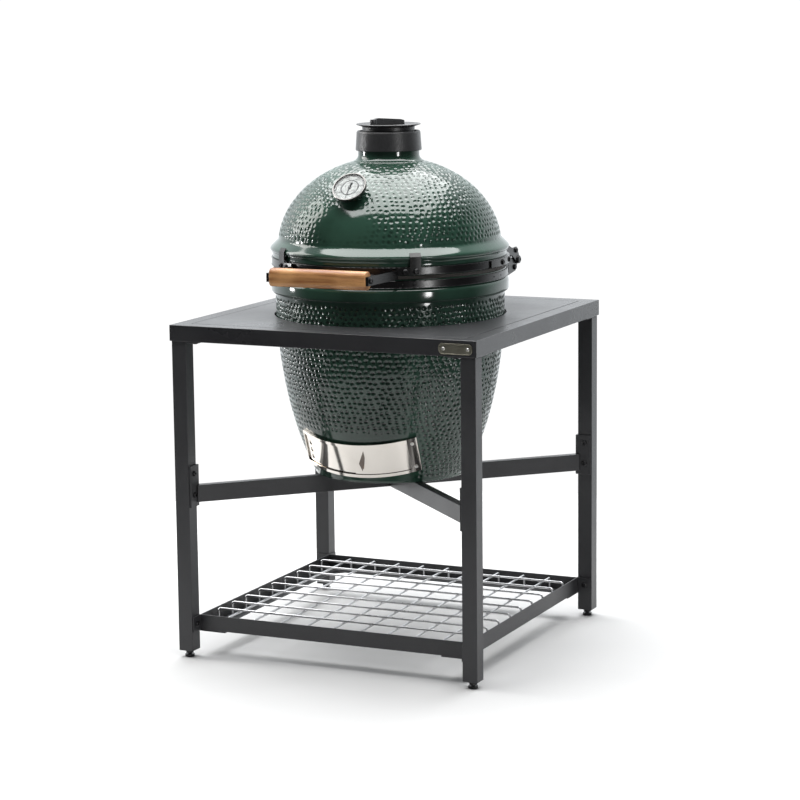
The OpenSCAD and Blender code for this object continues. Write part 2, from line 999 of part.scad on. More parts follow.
// A round bar along X, through the point [y, z], that reaches x each way.
module cross_bar(at, x, radius) {
    translate([-x, at.x, at.y]) rotate([0, 90, 0]) cylinder(r = radius, h = 2 * x);
}

module hinge_lower_bar() {
    color(dark_steel) cross_bar(lower_bar, lower_arm_x + hinge_sheet, bar_radius);
}

module hinge_upper_bar() {
    color(dark_steel) cross_bar(upper_bar, upper_arm_x + hinge_sheet, bar_radius);
}

module hinge_shaft() {
    reach = upper_arm_x + hinge_sheet + gap;
    color(dark_steel) {
        cross_bar([hinge_y, hinge_z], reach, shaft_radius);
        on_both_sides()
            translate([reach, hinge_y, hinge_z])
                rotate([0, 90, 0])
                    bolt_head(shaft_head_radius, bolt_head_height);
    }
}

// A wire wound around the Z axis, as rings of points joined into a skin.
module coil_spring(radius, wire, pitch, turns) {
    last = turns * coil_steps;
    points = [
        for (i = [0:last])
            for (k = [0:coil_sides - 1])
                let (around = 360 * i / coil_steps, section = 360 * k / coil_sides)
                let (r = radius + wire * cos(section))
                [r * cos(around), r * sin(around), pitch * i / coil_steps + wire * sin(section)]
    ];
    skin = [
        for (i = [0:last - 1])
            for (k = [0:coil_sides - 1])
                let (next = (k + 1) % coil_sides)
                [
                    i * coil_sides + k, (i + 1) * coil_sides + k,
                    (i + 1) * coil_sides + next, i * coil_sides + next,
                ]
    ];
    start_cap = [for (k = [0:coil_sides - 1]) k];
    end_cap = [for (k = [coil_sides - 1:-1:0]) last * coil_sides + k];
    polyhedron(points, concat(skin, [start_cap, end_cap]));
}

// Torsion springs around the shaft, which help to lift the dome.
module hinge_coils() {
    color(steel)
    on_both_sides()
        translate([coil_start_x, hinge_y, hinge_z])
            rotate([0, 90, 0])
                coil_spring(coil_radius, coil_wire, coil_pitch, coil_turns);
}

// The outer end of each spring, which pushes on the fixed lower bar.
module spring_base_legs() {
    color(steel) on_both_sides() spring_leg(coil_end_x + leg_collar_offset, lower_bar, -1);
}

// The inner end of each spring, which turns with the dome and pushes on the upper bar.
module spring_dome_legs() {
    color(steel) on_both_sides() spring_leg(coil_start_x - leg_collar_offset, upper_bar, 1);
}

// A last closed turn around the shaft, with a straight leg that passes in front of a bar.
module spring_leg(x, bar, side) {
    away = [bar.x - hinge_y, bar.y - hinge_z];
    distance = norm(away);
    swing = acos((coil_radius - leg_wire - bar_radius) / distance);
    touch = atan2(away.y, away.x) + side * swing;
    length = distance * sin(swing) + bar_radius;
    translate([x, hinge_y, hinge_z])
        rotate([90, 0, 90]) {
            translate([0, 0, -coil_wire])
                difference() {
                    cylinder(r = coil_radius + coil_wire, h = 2 * coil_wire);
                    translate([0, 0, -1]) cylinder(r = coil_radius - coil_wire, h = 4 * coil_wire);
                }
            rotate([0, 0, touch])
                translate([coil_radius, 0, 0])
                    rotate([side * 90, 0, 0])
                        cylinder(r = leg_wire, h = length, $fn = 24);
        }
}

module hinge_upper_bolts() {
    z = (dome_band_bottom + dome_band_top) / 2;
    color(dark_steel)
    on_both_sides() {
        for (angle = upper_hinge_bolt_angles)
            on_ring(angle, plate_radius + plate_sheet, z) bolt_head(bolt_head_radius, bolt_head_height);
        translate([upper_arm_x + hinge_sheet, upper_bar.x, upper_bar.y])
            rotate([0, 90, 0]) bolt_head(bolt_head_radius, bolt_head_height);
    }
}

// ---- Dome ----

// The frame of reference of the thermometer: the dial lies in the XY plane.
module on_gauge() {
    translate(gauge_centre) rotate([90 - gauge_tilt, 0, 0]) children();
}

module dome_shell() {
    shoulder_angle = asin((shoulder_top - dome_centre_z) / dome_half_height);
    fillet_radius = neck_radius + neck_fillet * (1 - cos(neck_fillet_end));
    neck_angle = acos(fillet_radius / dome_radius_max);
    inner_radius = dome_radius_max - wall;
    inner_height = dome_half_height - wall;
    rim = [
        [rim_inner_radius, dome_rim_bottom], [rim_radius, dome_rim_bottom], [rim_radius, strip_bottom],
        [strip_radius, strip_bottom], [strip_radius, flare_bottom - 1], [flare_radius, flare_bottom + 3],
        [flare_radius, flare_top],
        [(flare_radius + dome_radius_max) / 2 + 4, (flare_top + shoulder_top) / 2],
    ];
    outer = ellipse_points(
        dome_radius_max, dome_half_height, dome_centre_z, shoulder_angle, neck_angle, dome_steps
    );
    fillet = [
        for (a = spaced(180 + neck_fillet_end, 180, fillet_steps))
            [neck_radius + neck_fillet * (1 + cos(a)), neck_fillet_z + neck_fillet * sin(a)]
    ];
    inner = ellipse_points(
        inner_radius, inner_height, dome_centre_z,
        acos(neck_inner_radius / inner_radius), 0, dome_steps
    );
    color(glaze)
    difference() {
        rotate_extrude()
            polygon(concat(
                rim, outer, fillet, [[neck_radius, neck_top], [neck_inner_radius, neck_top]], inner
            ));
        on_gauge()
            translate([0, 0, -gauge_stem_length - 1])
                cylinder(r = gauge_stem_radius + 0.8, h = gauge_stem_length, $fn = 32);
    }
}

// ---- Handle ----

module handle_brackets() {
    color(strap_paint)
    on_both_sides() {
        arc_plate(
            plate_radius, plate_radius + plate_sheet, dome_band_bottom + 0.5, dome_band_top - 0.5,
            -90 + (bracket_from + bracket_to) / 2, (bracket_to - bracket_from) / 2
        );
        // Strap that hooks over the flare of the dome
        rotate([0, 0, -90 + strap_middle - strap_half])
            rotate_extrude(angle = 2 * strap_half)
                polygon([
                    [strap_inner, strap_bottom], [strap_outer, strap_bottom], [strap_outer, hook_corner],
                    hook_tip, hook_tip - [hook_edge, hook_edge], [strap_inner, hook_corner - 0.6],
                ]);
    }
}

module handle_arms() {
    foot_inner = plate_radius + plate_sheet;
    arm_foot_to = strap_middle - strap_half - 2 * arm_foot_gap;
    inside = grip_length / 2 + arm_tab;
    outside = inside + arm_sheet;
    color(strap_paint)
    on_both_sides() {
        arc_plate(
            foot_inner, foot_inner + arm_foot_sheet, dome_band_bottom + 0.5, dome_band_top - 0.5,
            -90 + (arm_foot_from + arm_foot_to) / 2, (arm_foot_to - arm_foot_from) / 2
        );
        translate([0, 0, grip_z - arm_height / 2])
            linear_extrude(arm_height)
                polygon(concat(arm_root, [
                    [outside, arm_elbow_y], [outside, grip_y - arm_tab_half],
                    [grip_length / 2, grip_y - arm_tab_half], [grip_length / 2, grip_y + arm_tab_half],
                    [inside, grip_y + arm_tab_half], [inside, arm_elbow_y],
                ]));
    }
}

// A rectangle with round corners, centred on the origin.
module rounded_rectangle(width, height, corner) {
    square([width, height - 2 * corner], center = true);
    square([width - 2 * corner, height], center = true);
    for (x = [-1, 1])
        for (y = [-1, 1])
            translate([x * (width / 2 - corner), y * (height / 2 - corner)])
                circle(r = corner);
}

module handle_grip() {
    color(oak)
    translate([-grip_length / 2, grip_y, grip_z])
        rotate([90, 0, 90])
            linear_extrude(grip_length)
                rounded_rectangle(grip_depth, grip_height, grip_corner);
}

module handle_bolts() {
    z = (dome_band_bottom + dome_band_top) / 2 - 1;
    on_arm = plate_radius + plate_sheet + arm_foot_sheet;
    color(dark_steel)
    on_both_sides() {
        on_ring(-90 + handle_bolt_angles[0], on_arm, z) bolt_head(bolt_head_radius, bolt_head_height);
        on_ring(-90 + handle_bolt_angles[1], strap_outer, z + 1)
            bolt_head(bolt_head_radius, bolt_head_height);
        translate([grip_length / 2 + arm_tab + arm_sheet, grip_y, grip_z])
            rotate([0, 90, 0]) bolt_head(bolt_head_radius, bolt_head_height);
    }
}

// ---- Thermometer ----

module gauge_case() {
    color(steel)
    on_gauge() {
        difference() {
            // From the middle of the back, round the rolled bezel, to the middle of the face
            rotate_extrude()
                polygon([
                    [0, -gauge_case_depth], [gauge_radius - 7, -gauge_case_depth],
                    [gauge_radius - 2, -gauge_case_depth + 4], [gauge_radius - 1, -2],
                    [gauge_radius, -1], [gauge_radius, 1.6], [gauge_radius - 1, 2.8],
                    [gauge_radius - 2.6, 2.8], [gauge_face_radius, 1.2], [0, 1.2],
                ]);
            translate([0, 0, dial_bottom])
                cylinder(r = gauge_face_radius - 0.4, h = gauge_case_depth);
            translate([0, 0, lens_bottom]) cylinder(r = gauge_face_radius, h = gauge_case_depth);
        }
        translate([0, 0, -gauge_case_depth - gauge_nut_height])
            cylinder(d = gauge_nut_across, h = gauge_nut_height + 0.5, $fn = 6);
        translate([0, 0, -gauge_stem_length])
            cylinder(r = gauge_stem_radius, h = gauge_stem_length - gauge_case_depth);
    }
}

module gauge_dial() {
    color(ivory)
    on_gauge() {
        translate([0, 0, dial_bottom]) cylinder(r = gauge_face_radius - 0.5, h = dial_sheet);
        translate([0, 0, dial_bottom + dial_sheet / 2])
            cylinder(r = dial_pin_radius, h = lens_bottom - dial_bottom - dial_sheet, $fn = 32);
    }
}

module gauge_lens() {
    color([0.8, 0.85, 0.85, 0.35])
    on_gauge()
        translate([0, 0, lens_bottom]) cylinder(r = gauge_face_radius - 0.1, h = lens_sheet);
}

// The pointer turns on the small pin in the middle of the dial.
module gauge_needle() {
    color([0.05, 0.05, 0.05])
    on_gauge()
        rotate([0, 0, needle_rest_angle])
            translate([0, 0, needle_bottom])
                linear_extrude(needle_sheet)
                    difference() {
                        union() {
                            circle(r = needle_hub_radius);
                            polygon([
                                [-needle_tail, -3.2], [0, -1.8], [needle_length, -0.3],
                                [needle_length, 0.3], [0, 1.8], [-needle_tail, 3.2],
                            ]);
                        }
                        circle(r = dial_pin_radius + running_fit, $fn = 32);
                    }
}

// ---- Chimney cap ----

module vent_collar() {
    seat = neck_top + gap;
    color(iron)
    difference() {
        union() {
            rotate_extrude()
                polygon([
                    [neck_radius + 0.4, collar_bottom], [collar_bottom_radius - 1, collar_bottom],
                    [collar_bottom_radius, collar_bottom + 1.5],
                    [collar_top_radius, collar_top - collar_chamfer],
                    [collar_top_radius - 1.6, collar_top], [collar_inner_radius + 1, collar_top],
                    [collar_inner_radius, collar_top - 2], [collar_inner_radius, seat + collar_seat],
                    [cap_neck_radius, seat + collar_seat], [cap_neck_radius, cap_neck_top],
                    [cap_neck_inner_radius, cap_neck_top], [cap_neck_inner_radius, seat + collar_seat],
                    [neck_inner_radius, seat + collar_seat], [neck_inner_radius, seat],
                    [neck_radius + 0.4, seat],
                ]);
            at_disc_pin(seat + 1) cylinder(r = pin_boss_radius, h = cap_neck_top - seat - 1);
        }
        at_disc_pin(cap_neck_top - disc_pin_depth - 1)
            cylinder(r = disc_pin_radius + running_fit, h = disc_pin_depth + 2);
    }
}

module at_disc_pin(z) {
    rotate([0, 0, fin_angle]) translate([disc_pin_reach, 0, z]) children();
}

// The lid of the chimney, which swings sideways on a pin near its edge.
module vent_disc() {
    fin_half = fin_length / 2;
    color(iron) {
        rotate_extrude()
            polygon([
                [0, disc_bottom], [disc_flat_radius, disc_bottom], [disc_radius, disc_top - 2.4],
                [disc_radius + 0.4, disc_top - 1], [disc_radius - 0.8, disc_top],
                [disc_flat_radius - 2, disc_bottom + disc_sheet], [0, disc_bottom + disc_sheet],
            ]);
        at_disc_pin(cap_neck_top - disc_pin_depth)
            cylinder(r = disc_pin_radius, h = disc_pin_depth + 2);
        rotate([0, 0, fin_angle])
            translate([0, fin_thickness / 2, disc_bottom + 1])
                rotate([90, 0, 0])
                    linear_extrude(fin_thickness)
                        polygon([
                            [-fin_half, 0], [-fin_half, fin_top - disc_bottom - 4],
                            [-fin_half + 14, fin_top - disc_bottom - 1],
                            [fin_half - 12, fin_back_height + 3], [fin_half, fin_back_height],
                            [fin_half, 0],
                        ]);
        rotate([0, 0, fin_angle])
            translate([-fin_half, 0, disc_bottom + 1])
                cylinder(r = fin_boss_radius, h = fin_top - disc_bottom - 4);
    }
}

// ---- Assembly ----

table_rim();
table_panel();
corner_plates();
leg_front_left();
leg_front_right();
leg_back_left();
leg_back_right();
foot_front_left();
foot_front_right();
foot_back_left();
foot_back_right();
shelf_rail_front();
shelf_rail_back();
shelf_rail_left();
shelf_rail_right();
shelf_corners();
wires_across();
wires_deep();
brace_beam();
brace_half_beams();
brace_brackets();
frame_bolts();
badge_plate();
badge_rivets();
base_shell();
fire_box();
fire_ring();
fire_grate();
cooking_grid();
base_gasket();
base_band();
base_bolts();
draft_frame();
draft_screws();
draft_door_left();
draft_door_right();
hinge_lower_arms();
hinge_lower_bar();
hinge_shaft();
hinge_coils();
spring_base_legs();
dome_shell();
dome_gasket();
dome_band();
hinge_upper_arms();
hinge_upper_bar();
hinge_upper_bolts();
spring_dome_legs();
handle_brackets();
handle_arms();
handle_grip();
handle_bolts();
gauge_case();
gauge_dial();
gauge_lens();
gauge_needle();
vent_collar();
vent_disc();
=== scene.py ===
"""Looks of a ceramic kamado charcoal grill in a square steel table frame, built around its CAD part."""

import json
import math

import bmesh
import bpy
import numpy as np
from mathutils import Matrix, Vector, kdtree


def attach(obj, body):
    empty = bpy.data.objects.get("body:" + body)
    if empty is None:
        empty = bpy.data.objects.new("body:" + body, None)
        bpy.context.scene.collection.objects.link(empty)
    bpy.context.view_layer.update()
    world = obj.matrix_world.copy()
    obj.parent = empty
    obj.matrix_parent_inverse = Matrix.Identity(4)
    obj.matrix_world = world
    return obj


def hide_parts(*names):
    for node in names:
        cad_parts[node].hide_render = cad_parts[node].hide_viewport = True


MM = 0.001

# Camera: where it stands round the object, in degrees and metres, and its lens and sensor in millimetres
CAMERA_AZIMUTH = 24.79
CAMERA_ELEVATION = 9.39
CAMERA_ROLL = -0.62
CAMERA_DISTANCE = 6.114
CAMERA_AIM_RIGHT = 0.020
CAMERA_AIM_HEIGHT = 0.570
CAMERA_LENS = 116.5
CAMERA_SENSOR = 36

# The egg: two half ellipses round the upright axis, in metres
WALL = 0.022
BASE_RADIUS = 0.2685
BASE_CENTRE = 0.8284
BASE_HALF_HEIGHT = 0.5693
BASE_BOTTOM = 0.405
BASE_FLOOR = 0.448
BASE_RIM_BOTTOM = 0.834
BASE_RIM_TOP = 0.8884
ROLL_RADIUS = 0.278
ROLL_TOP = 0.861
RIM_RADIUS = 0.2724
RIM_INNER_RADIUS = 0.246
DOME_RADIUS = 0.2613
DOME_CENTRE = 0.9378
DOME_HALF_HEIGHT = 0.2073
DOME_RIM_BOTTOM = 0.8956
STRIP_BOTTOM = 0.9175
STRIP_RADIUS = 0.2744
FLARE_BOTTOM = 0.930
FLARE_TOP = 0.938
FLARE_RADIUS = 0.2792
SHOULDER_TOP = 0.9535
NECK_RADIUS = 0.0715
NECK_INNER_RADIUS = 0.050
NECK_FILLET = 0.015
NECK_FILLET_Z = 1.150
NECK_FILLET_END = 75
NECK_TOP = 1.172

# Pits in the glaze. Jitter is a share of the pitch, sizes and the shallowest depth are shares of a full pit.
PIT_PITCH = 0.0138
PIT_RADIUS = 0.0065
PIT_DEPTH = 0.0013
PIT_SOFTNESS = 2.0
PIT_JITTER = 0.17
PIT_SIZES = (0.86, 1.12)
SHALLOWEST_PIT = 0.15
BASE_PIT_SHARE = 1.35
ROW_SPACING = 0.87
SCATTER_SEED = 7

# Where the pits fade out towards an edge: the heights where the change starts and ends
SHOULDER_FADE = (SHOULDER_TOP + 0.002, SHOULDER_TOP + 0.012)
NECK_FADE = (1.122, 1.143)
RIM_FADE = (0.822, 0.832)
FOOT_FADE = (0.410, 0.420)

# Fields without pits, on the front of the dome and round the draft door: degrees, metres, and where
# the change starts and ends as a share of the field
FRONT_FIELD_ANGLE = -1.0
FRONT_FIELD_HALF_ANGLE = 15.0
FRONT_FIELD_HEIGHT = 1.010
FRONT_FIELD_HALF_HEIGHT = 0.042
FRONT_FIELD_FADE = (0.6, 1.9)
DOOR_FIELD_HALF_ANGLE = 36.0
DOOR_FIELD_TOP = 0.503
DOOR_FIELD_SIDE_MARGIN = 8.0
DOOR_FIELD_TOP_MARGIN = 0.038
DOOR_FIELD_FADE = (0.35, 1.1)

# Mesh steps of the glazed shells: fine where there are pits, and coarser elsewhere
DOME_MESH_STEP = 0.0021
BASE_MESH_STEP = 0.0024
RIM_MESH_STEP = 0.004
PLAIN_MESH_STEP = 0.008
BASE_INSIDE_STEP = 0.010

# The draft door is bent round an axis that leans by DOOR_LEAN degrees, through the height DOOR_AXIS_Z. Its
# air intake and the seat of its frame are cut out of the wall, and their heights are along that axis.
DOOR_LEAN = 21.68
DOOR_AXIS_Z = 0.5431
DOOR_BEND = 0.2209
DOOR_FACE = 0.0053
INTAKE_HALF_ANGLE = 30.4
INTAKE_BOTTOM = -0.0284
INTAKE_TOP = 0.0314
SEAT_HALF_ANGLE = 39.7
SEAT_BOTTOM = -0.0423
SEAT_TOP = 0.0453

# Hinge springs, wound round the hinge shaft
SPRING_AXIS_Y = 0.300
SPRING_AXIS_Z = 0.880
SPRING_RADIUS = 0.011
SPRING_WIRE = 0.0016
SPRING_START = 0.124
SPRING_PITCH = 0.0042
SPRING_TURNS = 12
SPRING_STEPS = 20

# Printed dial of the thermometer, in millimetres from its middle and degrees against the clock.
# The scale runs from SCALE_START through SCALE_SWEEP. A tick is its inner radius and half its width in
# degrees, and numbers are the step from one to the next, their size and the radius that they stand on.
PRINT_BASE = -1.6
PRINT_THICKNESS = 0.12
SCALE_START = 240.0
SCALE_SWEEP = -300.0
SCALE_DIVISIONS = 12
FINE_TICKS = 5
CIRCLE_RADII = (19.3, 21.8)
SCALE_RADII = (33.2, 33.8)
TICK_OUTER_RADIUS = 33.5
MAJOR_TICK = (30.6, 1.4)
MINOR_TICK = (32.0, 0.6)
INNER_TICK_RADII = (17.6, 20.8)
INNER_TICK_HALF = 1.0
NUMBER_COUNT = 6
OUTER_NUMBERS = (100, 7.4, 26.6)
INNER_NUMBERS = (50, 4.6, 14.2)

# Edges of the CAD parts: points closer than this are one, faces flatter than this are one, and
# edges sharper than these angles are shaded as edges, and rounded
SAME_POINT = 1e-6
FLAT_ANGLE = 0.6
SHARP_ANGLE = 30
ROUNDED_ANGLE = 38

# Studio: lengths in metres, radiance in watts per square metre and steradian
EGG_HEIGHT = 1.0
SOFT_BOX_DISTANCE = 3.0
OVERHEAD_BACK = 0.55
OVERHEAD_RISE = 2.6
OVERHEAD_SIZE = (3.8, 4.2)
OVERHEAD_RADIANCE = 7.0
LEFT_BOX_DIRECTION = (-84, 26)
LEFT_BOX_SIZE = (1.4, 1.7)
LEFT_BOX_RADIANCE = 5.0
LEFT_BOX_TINT = (1.0, 0.98, 0.95)
FLOOR_RADIUS = 1.75

# Narrow soft boxes: name, azimuth, height, size and radiance
STRIP_LIGHTS = (
    ("left_strip", -80, 0.85, (0.35, 0.60), 30.0),
    ("right_strip", 60, 0.85, (0.30, 0.75), 24.0),
)

# World: how far behind the object a direction points, as a cosine, and the brightness that goes with it
WORLD_TURN = (-0.1, 0.75)
WORLD_STRENGTH = (0.05, 1.3)
WORLD_TINT = (0.93, 0.97, 1.0, 1.0)
BACKDROP_STRENGTH = 1.05

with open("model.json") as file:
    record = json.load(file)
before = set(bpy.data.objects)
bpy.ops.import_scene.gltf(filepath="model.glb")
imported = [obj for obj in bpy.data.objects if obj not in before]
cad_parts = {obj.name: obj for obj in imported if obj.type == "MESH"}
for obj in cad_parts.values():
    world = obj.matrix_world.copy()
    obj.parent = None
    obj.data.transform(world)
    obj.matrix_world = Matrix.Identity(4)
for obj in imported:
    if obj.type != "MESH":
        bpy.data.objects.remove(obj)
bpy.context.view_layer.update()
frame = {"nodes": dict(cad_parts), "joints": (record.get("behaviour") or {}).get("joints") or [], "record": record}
rng = np.random.default_rng(SCATTER_SEED)


# ---- Materials ----


class Nodes:
    """Short calls that add nodes to a node tree and join them."""

    def __init__(self, tree):
        self.tree = tree

    def add(self, kind, inputs=None, **settings):
        """A new node: inputs are its sockets' values or the outputs that feed them."""
        node = self.tree.nodes.new(kind)
        for key, value in settings.items():
            setattr(node, key, value)
        for key, value in (inputs or {}).items():
            self.feed(node.inputs[key], value)
        return node

    def feed(self, socket, value):
        if isinstance(value, bpy.types.NodeSocket):
            self.tree.links.new(value, socket)
        else:
            socket.default_value = value

    def fade(self, value, low, high, to_low=0.0, to_high=1.0):
        """value from low..high carried smoothly to to_low..to_high."""
        inputs = {"Value": value, "From Min": low, "From Max": high, "To Min": to_low, "To Max": to_high}
        return self.add("ShaderNodeMapRange", inputs, interpolation_type="SMOOTHSTEP").outputs["Result"]

    def vector(self, operation, a, b=(0, 0, 0), output="Vector"):
        return self.add("ShaderNodeVectorMath", {0: a, 1: b}, operation=operation).outputs[output]


class Look(Nodes):
    """A material being built: a Principled shader and the nodes that feed it."""

    def __init__(self, name, **values):
        self.material = bpy.data.materials.new(name)
        self.material.use_nodes = True
        super().__init__(self.material.node_tree)
        self.shader = self.tree.nodes["Principled BSDF"]
        self.place = self.add("ShaderNodeTexCoord").outputs["Object"]
        for key, value in values.items():
            self.set(key, value)

    def stretched(self, scale):
        """Object coordinates, scaled by a different factor each way."""
        mapping = {"Vector": self.place, "Scale": scale}
        return self.add("ShaderNodeMapping", mapping).outputs["Vector"]

    def noise(self, scale, detail=3.0, roughness=0.5, place=None):
        inputs = {"Vector": place or self.place, "Scale": scale, "Detail": detail, "Roughness": roughness}
        return self.add("ShaderNodeTexNoise", inputs).outputs["Fac"]

    def math(self, operation, a, b=0.0):
        return self.add("ShaderNodeMath", {0: a, 1: b}, operation=operation).outputs["Value"]

    def attribute(self, name, output="Fac"):
        return self.add("ShaderNodeAttribute", attribute_name=name).outputs[output]

    def mix(self, share, a, b):
        node = self.add("ShaderNodeMix", data_type="RGBA")
        self.feed(node.inputs["Factor"], share)
        self.feed(node.inputs["A"], a)
        self.feed(node.inputs["B"], b)
        return node.outputs["Result"]

    def set(self, key, value):
        self.feed(self.shader.inputs[key], value)

    def bump(self, height, depth):
        """Raises the surface by height times depth, in metres, on top of any bump already there."""
        inputs = {"Height": height, "Distance": abs(depth), "Strength": 1.0}
        node = self.add("ShaderNodeBump", inputs, invert=depth < 0)
        normal = self.shader.inputs["Normal"]
        if normal.is_linked:
            self.feed(node.inputs["Normal"], normal.links[0].from_socket)
        self.feed(normal, node.outputs["Normal"])


def colour(red, green, blue):
    """Linear colour with alpha from display values of 0 to 255."""
    values = [c / 255 for c in (red, green, blue)]
    return tuple(c / 12.92 if c <= 0.04045 else ((c + 0.055) / 1.055) ** 2.4 for c in values) + (1.0,)


def green_glaze():
    """Glossy glaze with pits, and shade painted into the pits. Each face carries the centre, radius and depth of
    its nearest pit.
    """
    look = Look("green_glaze", IOR=1.58)
    smooth = look.attribute("glaze_normal", "Vector")
    offset = look.vector("SUBTRACT", look.place, look.attribute("pit_centre", "Vector"))
    reach = look.vector("LENGTH", look.vector("CROSS_PRODUCT", offset, smooth), output="Value")
    reach = look.math("DIVIDE", reach, look.attribute("pit_radius"))
    open_share = look.math("MAXIMUM", look.math("SUBTRACT", 1.0, look.math("MULTIPLY", reach, reach)), 0.0)
    bowl = look.math("MULTIPLY", look.math("POWER", open_share, PIT_SOFTNESS), look.attribute("pit_depth"))
    clouds = look.noise(7.0, detail=4.0)
    flecks = look.noise(420.0, detail=2.0)
    body = look.mix(look.fade(clouds, 0.35, 0.68), colour(30, 52, 42), colour(42, 69, 57))
    # Painted shade: the glaze colour turns towards a dark green the deeper the pit is at a point.
    pit_shaded = look.mix(look.math("MULTIPLY", bowl, 0.5 / PIT_DEPTH), body, colour(10, 22, 16))
    look.set("Base Color", look.mix(look.fade(flecks, 0.66, 0.80, 0.0, 0.35), pit_shaded, colour(64, 90, 76)))
    look.set("Roughness", look.fade(look.noise(16.0), 0.3, 0.7, 0.07, 0.13))
    to_world = {"vector_type": "NORMAL", "convert_from": "OBJECT", "convert_to": "WORLD"}
    turn = look.add("ShaderNodeVectorTransform", {"Vector": smooth}, **to_world)
    look.set("Normal", turn.outputs["Vector"])
    look.bump(bowl, -1.0)
    look.bump(look.noise(30.0, detail=1.0), 0.0002)
    return look.material


def bare_ceramic():
    look = Look("bare_ceramic", IOR=1.45)
    clouds = look.noise(11.0, detail=5.0)
    grains = look.noise(900.0, detail=2.0)
    soot = look.noise(5.0, detail=6.0, roughness=0.65)
    body = look.mix(clouds, colour(196, 178, 152), colour(222, 208, 184))
    dusty = look.mix(look.fade(grains, 0.6, 0.75, 0.0, 0.5), body, colour(150, 128, 104))
    look.set("Base Color", look.mix(look.fade(soot, 0.52, 0.75, 0.0, 0.45), dusty, colour(92, 80, 70)))
    look.set("Roughness", look.fade(grains, 0.3, 0.7, 0.75, 0.92))
    look.bump(grains, 0.0003)
    look.bump(look.noise(70.0, detail=4.0), 0.0006)
    return look.material


def powder_coat(name, dark, light, shine):
    """Textured powder coating: fine orange peel, faint clouds and a few rubbed specks."""
    look = Look(name, IOR=1.5)
    clouds = look.noise(4.0, detail=5.0)
    peel = look.noise(1300.0, detail=2.0)
    rubbed = look.noise(60.0, detail=6.0, roughness=0.7)
    body = look.mix(look.fade(clouds, 0.35, 0.65), dark, light)
    grained = look.mix(look.fade(peel, 0.35, 0.65, 0.0, 0.25), body, colour(70, 70, 73))
    look.set("Base Color", look.mix(look.fade(rubbed, 0.70, 0.80, 0.0, 0.35), grained, colour(96, 96, 99)))
    look.set("Roughness", look.fade(clouds, 0.3, 0.7, shine - 0.05, shine + 0.07))
    look.bump(peel, 0.00018)
    return look.material


def band_black():
    """Satin black paint on the bands, brackets and arms, with fine rubbing along them."""
    look = Look("band_black", IOR=1.5)
    rubs = look.noise(160.0, detail=6.0, roughness=0.6, place=look.stretched((1.0, 1.0, 6.0)))
    clouds = look.noise(12.0, detail=4.0)
    body = look.mix(clouds, colour(15, 14, 15), colour(22, 21, 22))
    look.set("Base Color", look.mix(look.fade(rubs, 0.66, 0.80, 0.0, 0.35), body, colour(60, 58, 58)))
    look.set("Roughness", look.fade(rubs, 0.3, 0.7, 0.20, 0.27))
    look.bump(look.noise(700.0, detail=2.0), 0.00003)
    return look.material


def metal(name, tone, stain, roughness, grain, stretch=(1.0, 1.0, 1.0), depth=0.00003):
    """Bare metal with stains in it, whose roughness varies with a fine grain."""
    look = Look(name, Metallic=1.0)
    lines = look.noise(grain, detail=4.0, roughness=0.6, place=look.stretched(stretch))
    stains = look.noise(9.0, detail=5.0, roughness=0.6)
    look.set("Base Color", look.mix(look.fade(stains, 0.4, 0.75), tone + (1.0,), stain + (1.0,)))
    look.set("Roughness", look.fade(lines, 0.3, 0.7, *roughness))
    look.bump(lines, depth)
    return look.material


def black_fastener():
    look = Look("black_fastener", Metallic=0.6, IOR=1.6)
    worn = look.noise(240.0, detail=5.0, roughness=0.65)
    look.set("Base Color", look.mix(look.fade(worn, 0.56, 0.74), colour(28, 28, 30), colour(124, 122, 119)))
    look.set("Roughness", look.fade(worn, 0.3, 0.7, 0.42, 0.26))
    look.bump(look.noise(900.0), 0.00008)
    return look.material


def grip_wood():
    """Oiled hardwood with the grain along the grip."""
    look = Look("grip_wood", IOR=1.46)
    along = look.stretched((2.2, 26.0, 26.0))
    bands = look.noise(3.0, detail=3.0, roughness=0.5, place=along)
    fibres = look.noise(24.0, detail=5.0, roughness=0.65, place=along)
    pores = look.noise(70.0, detail=3.0, roughness=0.6, place=along)
    patches = look.noise(14.0, detail=2.0)
    body = look.mix(look.fade(bands, 0.32, 0.66), colour(124, 74, 40), colour(194, 142, 90))
    tinted = look.mix(look.fade(patches, 0.4, 0.7, 0.0, 0.45), body, colour(226, 172, 116))
    lined = look.mix(look.fade(fibres, 0.52, 0.72, 0.0, 0.55), tinted, colour(142, 84, 42))
    look.set("Base Color", look.mix(look.fade(pores, 0.62, 0.74, 0.0, 0.75), lined, colour(98, 56, 28)))
    look.set("Roughness", look.fade(fibres, 0.3, 0.7, 0.30, 0.46))
    look.bump(fibres, 0.00012)
    look.bump(pores, -0.0002)
    return look.material


def cap_iron():
    """Cast cap with a matt, finely pebbled dark grey finish."""
    look = Look("cap_iron", IOR=1.5)
    pebbles = look.noise(950.0, detail=3.0)
    clouds = look.noise(18.0, detail=5.0)
    body = look.mix(clouds, colour(40, 40, 41), colour(54, 54, 55))
    look.set("Base Color", look.mix(look.fade(pebbles, 0.55, 0.75, 0.0, 0.4), body, colour(84, 84, 86)))
    look.set("Roughness", look.fade(pebbles, 0.3, 0.7, 0.27, 0.38))
    look.bump(pebbles, 0.00025)
    look.bump(look.noise(120.0, detail=3.0), 0.0003)
    return look.material


def cast_iron():
    look = Look("cast_iron", Metallic=0.3, IOR=1.5)
    grains = look.noise(600.0, detail=4.0)
    rust = look.noise(22.0, detail=6.0, roughness=0.7)
    rusty = look.fade(rust, 0.6, 0.78, 0.0, 0.6)
    look.set("Base Color", look.mix(rusty, colour(44, 43, 43), colour(104, 72, 52)))
    look.set("Roughness", look.fade(grains, 0.3, 0.7, 0.6, 0.8))
    look.bump(grains, 0.0005)
    return look.material


